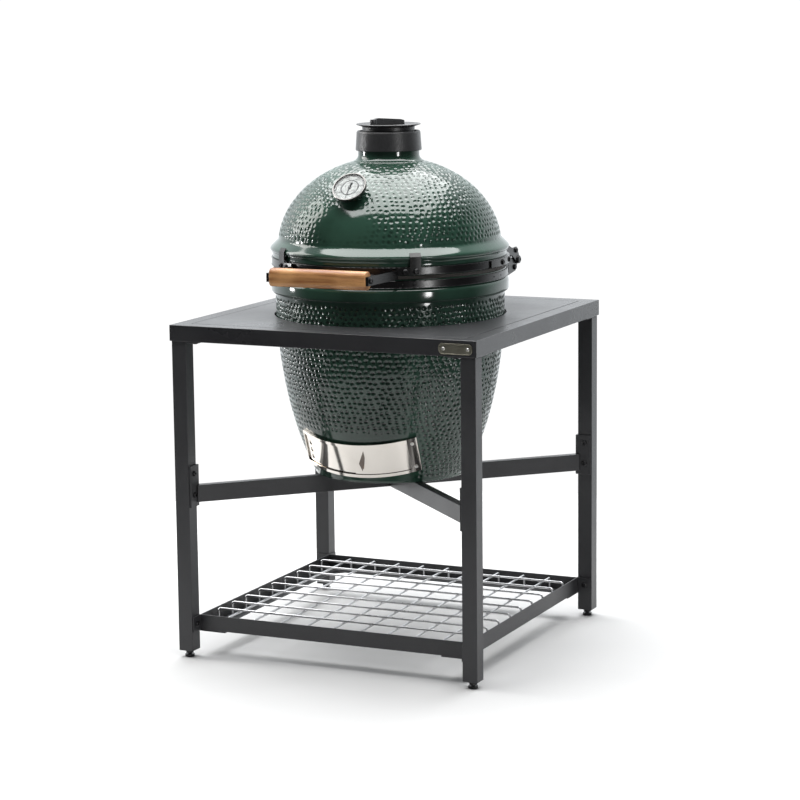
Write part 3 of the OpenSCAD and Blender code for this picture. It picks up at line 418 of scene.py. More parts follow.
def felt():
    look = Look("felt", IOR=1.4)
    fibres = look.noise(1500.0, detail=4.0, roughness=0.8)
    look.set("Sheen Weight", 0.4)
    look.set("Base Color", look.mix(look.fade(fibres, 0.35, 0.7), colour(52, 49, 47), colour(98, 94, 90)))
    look.set("Roughness", look.fade(fibres, 0.3, 0.7, 0.85, 1.0))
    look.bump(fibres, 0.0006)
    return look.material


def dial_white():
    look = Look("dial_white", IOR=1.2)
    clouds = look.noise(60.0, detail=3.0)
    look.set("Base Color", look.mix(clouds, colour(172, 172, 170), colour(182, 182, 180)))
    look.set("Roughness", look.fade(clouds, 0.3, 0.7, 0.54, 0.66))
    look.bump(look.noise(1800.0), 0.00002)
    return look.material


def dial_ink(name, tone):
    look = Look(name, IOR=1.2)
    density = look.noise(700.0, detail=3.0)
    faded = tuple(min(1.0, c * 1.6 + 0.02) for c in tone[:3]) + (1.0,)
    look.set("Base Color", look.mix(look.fade(density, 0.4, 0.8), tone, faded))
    look.set("Roughness", look.fade(density, 0.3, 0.7, 0.4, 0.55))
    return look.material


def lens_glass():
    """Thin clear pane: what is behind shows through, with a reflection that grows at a grazing angle."""
    look = Look("lens_glass")
    smears = look.noise(45.0, detail=4.0)
    clear = look.add("ShaderNodeBsdfTransparent", {"Color": (0.97, 0.98, 0.98, 1.0)}).outputs["BSDF"]
    gloss = look.add("ShaderNodeBsdfGlossy", {"Roughness": look.fade(smears, 0.4, 0.8, 0.02, 0.08)})
    facing = look.add("ShaderNodeLayerWeight", {"Blend": 0.5}).outputs["Facing"]
    share = look.math("ADD", look.math("POWER", facing, 4.0), 0.002)
    blend = look.add("ShaderNodeMixShader", {0: share, 1: clear, 2: gloss.outputs["BSDF"]})
    look.feed(look.tree.nodes["Material Output"].inputs["Surface"], blend.outputs["Shader"])
    look.tree.nodes.remove(look.shader)
    return look.material


def make_metals():
    """The bare metals, in linear colours."""
    return (
        metal("shelf_wire", (0.70, 0.70, 0.71), (0.52, 0.52, 0.53), (0.26, 0.42), grain=300),
        metal("bright_rivet", (0.90, 0.89, 0.87), (0.74, 0.73, 0.71), (0.30, 0.45), grain=800),
        metal("grid_steel", (0.55, 0.53, 0.50), (0.30, 0.27, 0.24), (0.28, 0.50), grain=260),
        metal("hinge_steel", (0.10, 0.10, 0.105), (0.20, 0.20, 0.20), (0.26, 0.42), grain=350),
        metal("spring_steel", (0.16, 0.16, 0.17), (0.30, 0.30, 0.30), (0.22, 0.38), grain=500),
        metal("pull_steel", (0.20, 0.17, 0.15), (0.12, 0.10, 0.09), (0.16, 0.26), grain=220),
        metal("gauge_steel", (0.17, 0.165, 0.16), (0.12, 0.115, 0.11), (0.24, 0.36), grain=900),
        metal(
            "badge_bronze", colour(178, 174, 158)[:3], colour(144, 140, 126)[:3], (0.32, 0.46),
            grain=500, stretch=(1, 1, 8), depth=0.00006,
        ),
        metal(
            "polished_steel", (0.76, 0.72, 0.67), (0.69, 0.65, 0.60), (0.05, 0.13),
            grain=220, stretch=(1, 1, 14), depth=0.00001,
        ),
    )


def make_looks():
    """Every material by its name. A CAD node takes the one that its material slot names.

    Blender adds a number after a dot to a name that the CAD part's own materials already have.
    """
    made = make_metals() + (
        green_glaze(),
        bare_ceramic(),
        powder_coat("table_powder_coat", colour(37, 37, 39), colour(45, 45, 47), shine=0.31),
        powder_coat("frame_powder_coat", colour(38, 38, 40), colour(46, 46, 48), shine=0.38),
        black_fastener(),
        band_black(),
        cast_iron(),
        felt(),
        grip_wood(),
        dial_white(),
        lens_glass(),
        dial_ink("pointer_black", colour(8, 8, 8)),
        dial_ink("dial_ink", colour(8, 9, 12)),
        cap_iron(),
    )
    return {material.name.split(".")[0]: material for material in made}


looks = make_looks()
slot_of = {part["node"]: part["material_slot"] for part in frame["record"]["subparts"]}
body_of = {node: body for body, nodes in frame["record"]["behaviour"]["bodies"].items() for node in nodes}


# ---- Mesh helpers ----


def new_piece(name, mesh, body, slot, look=None):
    """Adds a mesh or curve to the scene as a piece of that body, finished as that material slot."""
    piece = bpy.data.objects.new(name, mesh)
    bpy.context.scene.collection.objects.link(piece)
    mesh.materials.clear()
    mesh.materials.append(looks[look or slot])
    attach(piece, body)
    return piece


def shade_smooth(mesh):
    mesh.polygons.foreach_set("use_smooth", [True] * len(mesh.polygons))


def mesh_of(name, points, faces):
    mesh = bpy.data.meshes.new(name)
    mesh.from_pydata([tuple(p) for p in points], [], faces)
    shade_smooth(mesh)
    return mesh


def mesh_from_curve(name, curve):
    """The mesh of a curve or text, which needs an object in the scene for as long as it is read."""
    holder = bpy.data.objects.new(name, curve)
    bpy.context.scene.collection.objects.link(holder)
    mesh = bpy.data.meshes.new_from_object(holder)
    bpy.data.objects.remove(holder)
    return mesh


def soften(node, width, segments):
    """Replaces a CAD node by the same shape with its edges rounded to width."""
    mesh = frame["nodes"][node].data.copy()
    mesh.name = node + "_mesh"
    work = bmesh.new()
    work.from_mesh(mesh)
    bmesh.ops.remove_doubles(work, verts=work.verts, dist=SAME_POINT)
    bmesh.ops.dissolve_limit(work, angle_limit=math.radians(FLAT_ANGLE), verts=work.verts, edges=work.edges)
    work.to_mesh(mesh)
    work.free()
    if "custom_normal" in mesh.attributes:
        mesh.attributes.remove(mesh.attributes["custom_normal"])
    shade_smooth(mesh)
    mesh.set_sharp_from_angle(angle=math.radians(SHARP_ANGLE))
    piece = new_piece(node + "_finished", mesh, body_of[node], slot_of[node])
    rounding = piece.modifiers.new("edges", "BEVEL")
    rounding.width = width
    rounding.segments = segments
    rounding.limit_method = "ANGLE"
    rounding.angle_limit = math.radians(ROUNDED_ANGLE)
    rounding.harden_normals = True
    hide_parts(node)


def ring_mesh(rows):
    """Points and triangles of a closed skin round the upright axis.

    rows holds (radius, height, count): a ring of count points, or a pole where count is 1. Each ring is
    turned by half a step from the one before it, and rings of different counts are zipped together.
    """
    points, starts, turns = [], [], []
    for index, (radius, height, count) in enumerate(rows):
        turn = 0.5 * (index % 2) / count
        starts.append(sum(len(block) for block in points))
        turns.append(turn)
        angles = 2 * math.pi * (np.arange(count) / count + turn)
        level = np.full(count, float(height))
        points.append(np.column_stack((radius * np.cos(angles), radius * np.sin(angles), level)))
    counts = [count for _, _, count in rows]
    faces = []
    for low in range(len(rows) - 1):
        high = low + 1
        faces += zip_rings(starts[low], counts[low], turns[low], starts[high], counts[high], turns[high])
    return np.vstack(points), faces


def zip_rings(start_a, count_a, turn_a, start_b, count_b, turn_b):
    """Triangles between ring a and the ring b that follows it."""
    if count_a == 1:
        return [(start_a, start_b + (j + 1) % count_b, start_b + j) for j in range(count_b)]
    if count_b == 1:
        return [(start_a + i, start_a + (i + 1) % count_a, start_b) for i in range(count_a)]
    faces = []
    i = j = 0
    while i < count_a or j < count_b:
        next_a = (i + 1) / count_a + turn_a
        next_b = (j + 1) / count_b + turn_b
        if j >= count_b or (i < count_a and next_a <= next_b):
            faces.append((start_a + i % count_a, start_a + (i + 1) % count_a, start_b + j % count_b))
            i += 1
        else:
            faces.append((start_a + i % count_a, start_b + (j + 1) % count_b, start_b + j % count_b))
            j += 1
    return faces


def rounded_outline(corners, arc_steps=5):
    """(radius, height) points through corners (radius, height, rounding), bent smoothly at each."""
    points = []
    for k, (r, z, rounding) in enumerate(corners):
        here = Vector((r, z))
        if rounding == 0 or k in (0, len(corners) - 1):
            points.append((r, z))
            continue
        before = Vector(corners[k - 1][:2]) - here
        after = Vector(corners[k + 1][:2]) - here
        start = here + before.normalized() * min(rounding, before.length / 2)
        end = here + after.normalized() * min(rounding, after.length / 2)
        for step in range(arc_steps + 1):
            t = step / arc_steps
            point = start * (1 - t) ** 2 + here * 2 * t * (1 - t) + end * t**2
            points.append((point.x, point.y))
    return points


def resampled(outline, step):
    """The same outline with its long runs cut into stretches of about step."""
    result = [outline[0]]
    for (r0, z0), (r1, z1) in zip(outline, outline[1:]):
        pieces = max(1, round(math.hypot(r1 - r0, z1 - z0) / step))
        result += [(r0 + (r1 - r0) * k / pieces, z0 + (z1 - z0) * k / pieces) for k in range(1, pieces + 1)]
    return result


def along(outline, step):
    """Points spaced evenly, by about step, along an outline, with both of its ends."""
    r, z = np.array(outline).T
    length = np.concatenate(([0.0], np.cumsum(np.hypot(np.diff(r), np.diff(z)))))
    wanted = np.linspace(0.0, length[-1], max(2, round(length[-1] / step)) + 1)
    return list(zip(np.interp(wanted, length, r), np.interp(wanted, length, z)))


def ellipse_arc(radius, half_height, centre, low, high, step, samples=400):
    """Outline of a half ellipse from height low to height high, in stretches of about step."""
    start = math.asin((low - centre) / half_height)
    end = math.asin((high - centre) / half_height)
    angles = np.linspace(start, end, samples)
    return along([(radius * math.cos(a), centre + half_height * math.sin(a)) for a in angles], step)


def rings(outline, step, fewest=24, pole=1e-4):
    """Rows for ring_mesh: each outline point with the number of points that spaces them by step."""
    return [(r, z, 1 if r < pole else max(fewest, round(2 * math.pi * r / step))) for r, z in outline]


# ---- Glazed ceramic ----


def smooth_step(value, low, high):
    share = np.clip((value - low) / (high - low), 0.0, 1.0)
    return share * share * (3 - 2 * share)


def scatter_pits(outline, strength):
    """Pits in loosely staggered rows along an outline: an array of x, y, z, radius and depth.

    strength(points) is how deep pits are at a place, 0 to 1.
    """
    pits = []
    radii, heights = np.array(outline).T
    for row, (r, z) in enumerate(along(outline, PIT_PITCH * ROW_SPACING)):
        count = round(2 * math.pi * r / PIT_PITCH)
        angles = 2 * math.pi * (np.arange(count) + 0.5 * (row % 2)) / count
        angles += rng.uniform(-PIT_JITTER, PIT_JITTER, count) * PIT_PITCH / r
        z_here = z + rng.uniform(-PIT_JITTER, PIT_JITTER, count) * PIT_PITCH
        r_here = np.interp(z_here, heights, radii)
        size = rng.uniform(*PIT_SIZES, count)
        centres = np.column_stack((r_here * np.cos(angles), r_here * np.sin(angles), z_here))
        depth = PIT_DEPTH * size * strength(centres)
        pits.append(np.column_stack((centres, PIT_RADIUS * size, depth)))
    pits = np.vstack(pits)
    return pits[pits[:, 4] > SHALLOWEST_PIT * PIT_DEPTH]


def nearest_pits(points, pits):
    """The pit nearest to each point, with its depth set to 0 where the point lies far outside it."""
    tree = kdtree.KDTree(len(pits))
    for index, pit in enumerate(pits):
        tree.insert(pit[:3], index)
    tree.balance()
    found = [tree.find(point) for point in points]
    nearest = pits[[index for _, index, _ in found]].copy()
    outside = np.array([distance for _, _, distance in found]) > 2 * PIT_RADIUS
    nearest[outside, 4] = 0.0
    return nearest


def front_angle(points):
    """Degrees round the upright axis from the front, positive to the right."""
    return np.degrees(np.arctan2(points[:, 0], -points[:, 1]))


def dome_pit_strength(points):
    """Pits fade out at the shoulder, near the neck, and in a smooth field on the front."""
    height = points[:, 2]
    shoulder = smooth_step(height, *SHOULDER_FADE)
    neck = 1.0 - smooth_step(height, *NECK_FADE)
    across = (front_angle(points) - FRONT_FIELD_ANGLE) / FRONT_FIELD_HALF_ANGLE
    up = (height - FRONT_FIELD_HEIGHT) / FRONT_FIELD_HALF_HEIGHT
    return shoulder * neck * smooth_step(np.hypot(across, up), *FRONT_FIELD_FADE)


def base_pit_strength(points):
    """Pits are deeper than on the dome, and fade out under the rim and round the draft door."""
    height = points[:, 2]
    rim = 1.0 - smooth_step(height, *RIM_FADE)
    foot = smooth_step(height, *FOOT_FADE)
    across = np.maximum(np.abs(front_angle(points)) - DOOR_FIELD_HALF_ANGLE, 0.0) / DOOR_FIELD_SIDE_MARGIN
    above = np.maximum(height - DOOR_FIELD_TOP, 0.0) / DOOR_FIELD_TOP_MARGIN
    return BASE_PIT_SHARE * rim * foot * smooth_step(np.hypot(across, above), *DOOR_FIELD_FADE)


def add_attribute(mesh, name, kind, domain, values):
    field = "vector" if kind == "FLOAT_VECTOR" else "value"
    layer = mesh.attributes.get(name) or mesh.attributes.new(name, kind, domain)
    layer.data.foreach_set(field, np.asarray(values, dtype=np.float32).ravel())


def read_vectors(items, field):
    values = np.zeros(3 * len(items))
    items.foreach_get(field, values)
    return values.reshape(-1, 3)


def glazed_mesh(name, before, pitted, after, step, strength):
    """A closed ceramic shell round the upright axis: smooth, then pitted, then smooth again."""
    rows = rings(before, 2 * step) + rings(pitted, step) + rings(after, 2 * step)
    points, faces = ring_mesh(rows)
    mesh = mesh_of(name, points, faces)
    normals = read_vectors(mesh.vertices, "normal")
    pits = scatter_pits(pitted, strength)
    nearest = nearest_pits(points, pits)
    reach = np.linalg.norm(np.cross(points - nearest[:, :3], normals), axis=1) / nearest[:, 3]
    bowl = np.clip(1.0 - reach**2, 0.0, None) ** PIT_SOFTNESS * nearest[:, 4]
    mesh.vertices.foreach_set("co", (points - normals * bowl[:, None]).ravel())
    nearest = nearest_pits(read_vectors(mesh.polygons, "center"), pits)
    add_attribute(mesh, "glaze_normal", "FLOAT_VECTOR", "POINT", normals)
    add_attribute(mesh, "pit_centre", "FLOAT_VECTOR", "FACE", nearest[:, :3])
    add_attribute(mesh, "pit_radius", "FLOAT", "FACE", nearest[:, 3])
    add_attribute(mesh, "pit_depth", "FLOAT", "FACE", nearest[:, 4])
    return mesh


def make_dome():
    """The dome's outline runs from its rim up the outside to the neck, and back down the inside."""
    fillet_radius = NECK_RADIUS + NECK_FILLET * (1 - math.cos(math.radians(NECK_FILLET_END)))
    top = DOME_CENTRE + DOME_HALF_HEIGHT * math.sqrt(1 - (fillet_radius / DOME_RADIUS) ** 2)
    inner_radius, inner_height = DOME_RADIUS - WALL, DOME_HALF_HEIGHT - WALL
    inner_top = DOME_CENTRE + inner_height * math.sqrt(1 - (NECK_INNER_RADIUS / inner_radius) ** 2)
    rim = rounded_outline(
        [
            (RIM_INNER_RADIUS, DOME_RIM_BOTTOM, 0),
            (RIM_RADIUS, DOME_RIM_BOTTOM, 0.003),
            (RIM_RADIUS, STRIP_BOTTOM - 0.001, 0.001),
            (STRIP_RADIUS - 0.0006, STRIP_BOTTOM, 0.002),
            (STRIP_RADIUS - 0.0006, FLARE_BOTTOM - 0.004, 0.007),
            (FLARE_RADIUS, FLARE_BOTTOM + 0.004, 0.006),
            (FLARE_RADIUS - 0.0004, FLARE_TOP + 0.001, 0.006),
            (DOME_RADIUS - 0.0002, SHOULDER_TOP + 0.0025, 0.008),
        ]
    )
    pitted = ellipse_arc(
        DOME_RADIUS, DOME_HALF_HEIGHT, DOME_CENTRE, SHOULDER_TOP + 0.004, top, DOME_MESH_STEP
    )
    fillet = [
        (
            NECK_RADIUS + NECK_FILLET * (1 + math.cos(math.radians(angle))),
            NECK_FILLET_Z + NECK_FILLET * math.sin(math.radians(angle)),
        )
        for angle in np.linspace(180 + NECK_FILLET_END, 180, 10)
    ]
    neck = [(NECK_RADIUS, NECK_TOP - 0.001), (NECK_RADIUS - 0.001, NECK_TOP), (NECK_INNER_RADIUS, NECK_TOP)]
    inner = ellipse_arc(inner_radius, inner_height, DOME_CENTRE, inner_top, DOME_CENTRE, PLAIN_MESH_STEP)
    inside = fillet + neck + inner + [(RIM_INNER_RADIUS, DOME_RIM_BOTTOM)]
    mesh = glazed_mesh(
        "dome_glazed", resampled(rim, RIM_MESH_STEP)[:-1], pitted, resampled(inside, PLAIN_MESH_STEP),
        DOME_MESH_STEP, dome_pit_strength,
    )
    piece = new_piece("dome_glazed", mesh, "dome", "green_glaze")
    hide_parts("dome_shell")


def make_base():
    """The base's outline runs from the middle of its foot up the outside to the rim, and down inside."""
    inner = ellipse_arc(
        BASE_RADIUS - WALL, BASE_HALF_HEIGHT, BASE_CENTRE, BASE_RIM_BOTTOM, BASE_FLOOR, BASE_INSIDE_STEP
    )
    pitted = ellipse_arc(
        BASE_RADIUS, BASE_HALF_HEIGHT, BASE_CENTRE,
        BASE_BOTTOM + 0.004, BASE_RIM_BOTTOM - 0.002, BASE_MESH_STEP,
    )
    foot_radius = pitted[0][0]
    foot = rounded_outline(
        [
            (0.0, BASE_BOTTOM, 0),
            (foot_radius - 0.001, BASE_BOTTOM, 0.003),
            (foot_radius, BASE_BOTTOM + 0.003, 0),
        ]
    )
    rim = rounded_outline(
        [
            (BASE_RADIUS, BASE_RIM_BOTTOM - 0.0005, 0),
            (ROLL_RADIUS, BASE_RIM_BOTTOM + 0.001, 0.007),
            (ROLL_RADIUS, ROLL_TOP, 0.005),
            (RIM_RADIUS, ROLL_TOP + ROLL_RADIUS - RIM_RADIUS, 0.002),
            (RIM_RADIUS, BASE_RIM_TOP, 0.004),
            (RIM_INNER_RADIUS, BASE_RIM_TOP, 0.002),
        ]
    )
    inside = rim + inner + [(0.0, BASE_FLOOR)]
    mesh = glazed_mesh(
        "base_glazed", resampled(foot, BASE_INSIDE_STEP), pitted, resampled(inside, PLAIN_MESH_STEP),
        BASE_MESH_STEP, base_pit_strength,
    )
    piece = new_piece("base_glazed", mesh, "frame_and_base", "green_glaze")
    cut_intake(piece)
    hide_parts("base_shell")


def door_frame():
    """Local axes of the bent draft door: Z is the leaning axis, and the front is -Y."""
    return Matrix.Translation((0, 0, DOOR_AXIS_Z)) @ Matrix.Rotation(math.radians(DOOR_LEAN), 4, "X")


def bent_block(name, inner, outer, bottom, top, start, end, steps=24):
    """A closed block bent round the leaning axis of the draft door."""
    corners = ((inner, bottom), (outer, bottom), (outer, top), (inner, top))
    points, faces = [], []
    for k in range(steps + 1):
        angle = math.radians(start + (end - start) * k / steps)
        across, back = math.sin(angle), -math.cos(angle)
        points += [door_frame() @ Vector((radius * across, radius * back, z)) for radius, z in corners]
    for k in range(steps):
        for side in range(4):
            a, b = 4 * k + side, 4 * k + (side + 1) % 4
            faces.append((a, a + 4, b + 4, b))
    faces += [(0, 1, 2, 3), tuple(4 * steps + side for side in (3, 2, 1, 0))]
    return mesh_of(name, points, faces)


def cut_bent_block(piece, *block):
    """Cuts a block bent round the leaning axis out of a piece."""
    cutter = bpy.data.objects.new("cutter", bent_block("cutter", *block))
    bpy.context.scene.collection.objects.link(cutter)
    cut = piece.modifiers.new("cut", "BOOLEAN")
    cut.operation = "DIFFERENCE"
    cut.solver = "MANIFOLD"
    cut.object = cutter
    bpy.context.view_layer.update()
    cut_piece = piece.evaluated_get(bpy.context.evaluated_depsgraph_get())
    piece.data = bpy.data.meshes.new_from_object(cut_piece)
    piece.modifiers.clear()
    bpy.data.objects.remove(cutter)


def cut_intake(piece):
    """Cuts the air intake through the wall, and the seat of the draft door frame round it.

    The points that this adds have no glaze_normal yet, so they take the mesh's own normal.
    """
    inside, outside = DOOR_BEND - 3 * WALL, DOOR_BEND + WALL
    cut_bent_block(piece, inside, outside, INTAKE_BOTTOM, INTAKE_TOP, -INTAKE_HALF_ANGLE, INTAKE_HALF_ANGLE)
    cut_bent_block(piece, DOOR_BEND, outside, SEAT_BOTTOM, SEAT_TOP, -SEAT_HALF_ANGLE, SEAT_HALF_ANGLE)
    mesh = piece.data
    smooth = read_vectors(mesh.attributes["glaze_normal"].data, "vector")
    lost = np.linalg.norm(smooth, axis=1) < 0.5
    smooth[lost] = read_vectors(mesh.vertices, "normal")[lost]
    add_attribute(mesh, "glaze_normal", "FLOAT_VECTOR", "POINT", smooth)


def darken_pull():
    """The faces of the right door's finger pull, which stand off the door's face, are drawn in the darker
    pull_steel.
    """
    piece = bpy.data.objects["draft_door_right_finished"]
    piece.data.materials.append(looks["pull_steel"])
    to_door = door_frame().inverted()
    for face in piece.data.polygons:
        x, y, _ = to_door @ face.center
        face.material_index = int(math.hypot(x, y) > DOOR_BEND + DOOR_FACE)


# ---- Thermometer ----


def gauge_frame():
    """Local axes of the thermometer face: Z looks out of it, Y up it, and the origin is on its pivot."""
    joint = next(j for j in frame["joints"] if j["name"] == "pointer_turn")
    out = Vector(joint["axis"]).normalized()
    across = Vector((1, 0, 0))
    up = out.cross(across)
    turn = Matrix((across, up, out)).transposed().to_4x4()
    return Matrix.Translation(joint["pos_m"]) @ turn


def add_arc(work, inner, outer, start, end, base, top, steps):
    """A flat ring sector between two angles, as a closed slab, added to a bmesh."""
    loops = []
    for k in range(steps + 1):
        angle = math.radians(start + (end - start) * k / steps)
        direction = Vector((math.cos(angle), math.sin(angle), 0))
        loops.append(
            [
                work.verts.new(direction * radius + Vector((0, 0, height)))
                for radius, height in ((inner, base), (outer, base), (outer, top), (inner, top))
            ]
        )
    for first, second in zip(loops, loops[1:]):
        for side in range(4):
            work.faces.new((first[side], first[(side + 1) % 4], second[(side + 1) % 4], second[side]))
    work.faces.new(reversed(loops[0]))
    work.faces.new(loops[-1])


def add_number(work, text, size, centre, height, thickness):
    """A printed number, centred on a point of the dial."""
    curve = bpy.data.curves.new("number", "FONT")
    curve.body = text
    curve.size = size
    curve.align_x = "CENTER"
    curve.align_y = "CENTER"
    curve.extrude = thickness / 2
    curve.resolution_u = 3
    mesh = mesh_from_curve("number", curve)
    mesh.transform(Matrix.Translation((centre[0], centre[1], height + thickness / 2)))
    work.from_mesh(mesh)
    bpy.data.meshes.remove(mesh)


def add_sector(work, radii, start, end, steps=1):
    """A printed ring sector between two radii in millimetres and two angles."""
    inner, outer = (radius * MM for radius in radii)
    base = PRINT_BASE * MM
    add_arc(work, inner, outer, start, end, base, base + PRINT_THICKNESS * MM, steps)


def add_ticks(work):
    """Ticks along the scale: longer and wider at each division, and an inner one at every second."""
    for k in range(SCALE_DIVISIONS * FINE_TICKS + 1):
        angle = SCALE_START + SCALE_SWEEP * k / (SCALE_DIVISIONS * FINE_TICKS)
        inner, half = MINOR_TICK if k % FINE_TICKS else MAJOR_TICK
        add_sector(work, (inner, TICK_OUTER_RADIUS), angle - half, angle + half)
        if k % (2 * FINE_TICKS) == 0:
            add_sector(work, INNER_TICK_RADII, angle - INNER_TICK_HALF, angle + INNER_TICK_HALF)


def add_numbers(work, interval, size, radius):
    """Multiples of interval round the dial, each halfway between two inner ticks."""
    for k in range(1, NUMBER_COUNT + 1):
        angle = math.radians(SCALE_START + SCALE_SWEEP * (k - 0.5) / NUMBER_COUNT)
        centre = Vector((math.cos(angle), math.sin(angle))) * radius * MM
        add_number(work, str(k * interval), size * MM, centre, PRINT_BASE * MM, PRINT_THICKNESS * MM)


def make_dial_print():
    """Two scales of ticks and numbers, with a circle between them."""
    work = bmesh.new()
    add_sector(work, CIRCLE_RADII, 0, 360, steps=72)
    add_sector(work, SCALE_RADII, SCALE_START, SCALE_START + SCALE_SWEEP, steps=60)
    add_ticks(work)
    add_numbers(work, *OUTER_NUMBERS)
    add_numbers(work, *INNER_NUMBERS)
    mesh = bpy.data.meshes.new("dial_print")
    work.to_mesh(mesh)
    work.free()
    mesh.transform(gauge_frame())
    new_piece("dial_print", mesh, "dome", "pointer_black", "dial_ink")


# ---- Hinge springs ----


def make_spring(name, side):
    """One torsion spring, on the left for side -1 and on the right for side 1."""
    curve = bpy.data.curves.new(name, "CURVE")
    curve.dimensions = "3D"
    curve.bevel_depth = SPRING_WIRE
    curve.bevel_resolution = 3
    curve.use_fill_caps = True
    line = curve.splines.new("POLY")
    line.points.add(SPRING_STEPS * SPRING_TURNS)
    for k, point in enumerate(line.points):
        turn = 2 * math.pi * k / SPRING_STEPS
        x = side * (SPRING_START + SPRING_PITCH * k / SPRING_STEPS)
        y = SPRING_AXIS_Y + SPRING_RADIUS * math.cos(turn)
        z = SPRING_AXIS_Z + SPRING_RADIUS * math.sin(turn)
        point.co = (x, y, z, 1)
    mesh = mesh_from_curve(name, curve)
    shade_smooth(mesh)
    piece = new_piece(name, mesh, "frame_and_base", "spring_steel")
    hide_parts("hinge_coils")


# ---- Everything else keeps its CAD shape ----

# Width of the rounded edges of each CAD node, in millimetres
EDGE_WIDTHS = {
    "table_rim": 1.3, "table_panel": 0.6, "corner_plates": 0.6,
    "leg_front_left": 1.6, "leg_front_right": 1.6, "leg_back_left": 1.6, "leg_back_right": 1.6,
    "foot_front_left": 0.5, "foot_front_right": 0.5, "foot_back_left": 0.5, "foot_back_right": 0.5,
    "shelf_rail_front": 0.9, "shelf_rail_back": 0.9, "shelf_rail_left": 0.9, "shelf_rail_right": 0.9,
    "shelf_corners": 0.5, "brace_beam": 1.2, "brace_half_beams": 1.2, "brace_brackets": 0.8,
    "frame_bolts": 0.35, "badge_plate": 0.35, "base_bolts": 0.3, "draft_frame": 0.25,
    "draft_screws": 0.25, "draft_door_right": 0.25, "draft_door_left": 0.2, "handle_brackets": 0.6,
    "handle_arms": 0.8, "handle_bolts": 0.35, "hinge_upper_bolts": 0.35, "hinge_upper_arms": 0.7,
    "hinge_lower_arms": 0.7, "handle_grip": 2.5, "gauge_needle": 0.1,
}


def dress_cad_nodes():
    """Rounds the edges of the listed nodes, and gives the rest their materials as they are."""
    for node, width in EDGE_WIDTHS.items():
        soften(node, width * MM, segments=3 if width >= 1 else 2)
    replaced = set(EDGE_WIDTHS) | {"dome_shell", "base_shell", "hinge_coils"}
    for node, item in frame["nodes"].items():
        if node in replaced:
            continue
        for place in item.material_slots:
            place.material = looks[slot_of[node]]


# ---- Studio ----


def direction(azimuth, elevation):
    """Unit vector towards a compass angle, counted from the front towards the right, and a height angle."""
    a, e = math.radians(azimuth), math.radians(elevation)
    return Vector((math.sin(a) * math.cos(e), -math.cos(a) * math.cos(e), math.sin(e)))


def make_camera():
    back = direction(CAMERA_AZIMUTH, CAMERA_ELEVATION)
    right = direction(CAMERA_AZIMUTH + 90, 0)
    roll = math.radians(CAMERA_ROLL)
    side = right * math.cos(roll) + back.cross(right) * math.sin(roll)
    data = bpy.data.cameras.new("camera")
    data.lens = CAMERA_LENS
    data.sensor_width = CAMERA_SENSOR
    camera = bpy.data.objects.new("camera", data)
    target = Vector((0, 0, CAMERA_AIM_HEIGHT)) + right * CAMERA_AIM_RIGHT
    turn = Matrix((side, back.cross(side), back)).transposed().to_4x4()
    camera.matrix_world = Matrix.Translation(target + back * CAMERA_DISTANCE) @ turn
    bpy.context.scene.collection.objects.link(camera)
    bpy.context.scene.camera = camera


def soft_light(name, place, aim, width, height, radiance, tint=(1.0, 1.0, 1.0)):
    """A rectangular soft box that looks at aim, unseen by the camera."""
    data = bpy.data.lights.new(name, "AREA")
    data.shape = "RECTANGLE"
    data.size = width
    data.size_y = height
    data.color = tint
    data.energy = radiance * width * height * math.pi
    lamp = bpy.data.objects.new(name, data)
    lamp.location = place
    lamp.rotation_euler = (Vector(place) - Vector(aim)).to_track_quat("Z", "Y").to_euler()
    lamp.visible_camera = False
    bpy.context.scene.collection.objects.link(lamp)
    return lamp


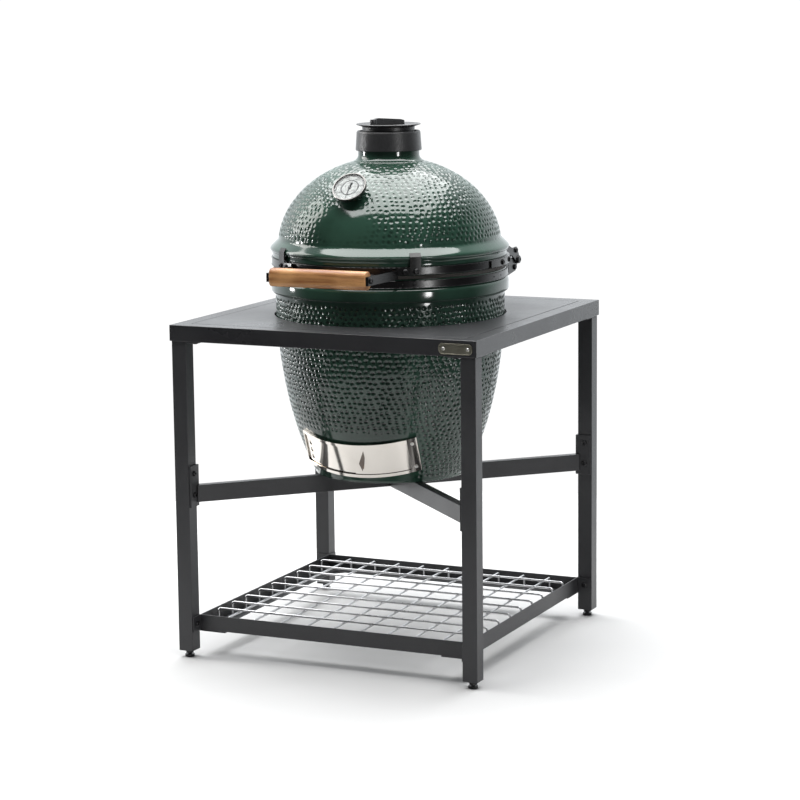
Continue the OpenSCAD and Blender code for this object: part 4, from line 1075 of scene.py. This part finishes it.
def make_lights():
    """A large soft box above, one on the left, and two narrow ones that sparkle in the pits of the base."""
    egg = Vector((0, 0, EGG_HEIGHT))
    away = direction(CAMERA_AZIMUTH + 180, 0)
    below = egg + away * OVERHEAD_BACK
    above = below + Vector((0, 0, OVERHEAD_RISE))
    overhead = soft_light("overhead", above, below, *OVERHEAD_SIZE, OVERHEAD_RADIANCE)
    overhead.rotation_euler = (0, 0, math.radians(CAMERA_AZIMUTH))
    left = egg + direction(*LEFT_BOX_DIRECTION) * SOFT_BOX_DISTANCE
    soft_light("left_box", left, egg, *LEFT_BOX_SIZE, LEFT_BOX_RADIANCE, LEFT_BOX_TINT)
    for name, azimuth, height, size, radiance in STRIP_LIGHTS:
        aim = Vector((0, 0, height))
        soft_light(name, aim + direction(azimuth, 0) * SOFT_BOX_DISTANCE, aim, *size, radiance)


def make_world():
    """White to the camera. To the rest, a studio that is bright behind the object and dim in front of it."""
    world = bpy.data.worlds.new("studio")
    world.use_nodes = True
    nodes = Nodes(world.node_tree)
    nodes.tree.nodes.clear()
    away = direction(CAMERA_AZIMUTH + 180, 0)
    place = nodes.add("ShaderNodeTexCoord").outputs["Generated"]
    behind = nodes.vector("DOT_PRODUCT", place, away, output="Value")
    strength = nodes.fade(behind, *WORLD_TURN, *WORLD_STRENGTH)
    studio = nodes.add("ShaderNodeBackground", {"Color": WORLD_TINT, "Strength": strength})
    backdrop = nodes.add("ShaderNodeBackground", {"Color": (1, 1, 1, 1), "Strength": BACKDROP_STRENGTH})
    seen = nodes.add("ShaderNodeLightPath").outputs["Is Camera Ray"]
    sources = {0: seen, 1: studio.outputs["Background"], 2: backdrop.outputs["Background"]}
    blend = nodes.add("ShaderNodeMixShader", sources)
    nodes.add("ShaderNodeOutputWorld", {"Surface": blend.outputs["Shader"]})
    bpy.context.scene.world = world


def make_floor():
    look = Look("floor", IOR=1.3)
    look.set("Base Color", look.mix(look.noise(3.0), colour(196, 196, 196), colour(200, 200, 200)))
    look.set("Roughness", look.fade(look.noise(8.0), 0.3, 0.7, 0.8, 0.9))
    work = bmesh.new()
    bmesh.ops.create_circle(work, cap_ends=True, segments=96, radius=FLOOR_RADIUS)
    mesh = bpy.data.meshes.new("floor")
    work.to_mesh(mesh)
    work.free()
    mesh.materials.append(look.material)
    floor = bpy.data.objects.new("floor", mesh)
    bpy.context.scene.collection.objects.link(floor)


make_camera()
make_dome()
make_base()
make_dial_print()
make_spring("spring_left", -1)
make_spring("spring_right", 1)
dress_cad_nodes()
darken_pull()
make_lights()
make_world()
make_floor()
bpy.context.scene.view_settings.view_transform = "Standard"
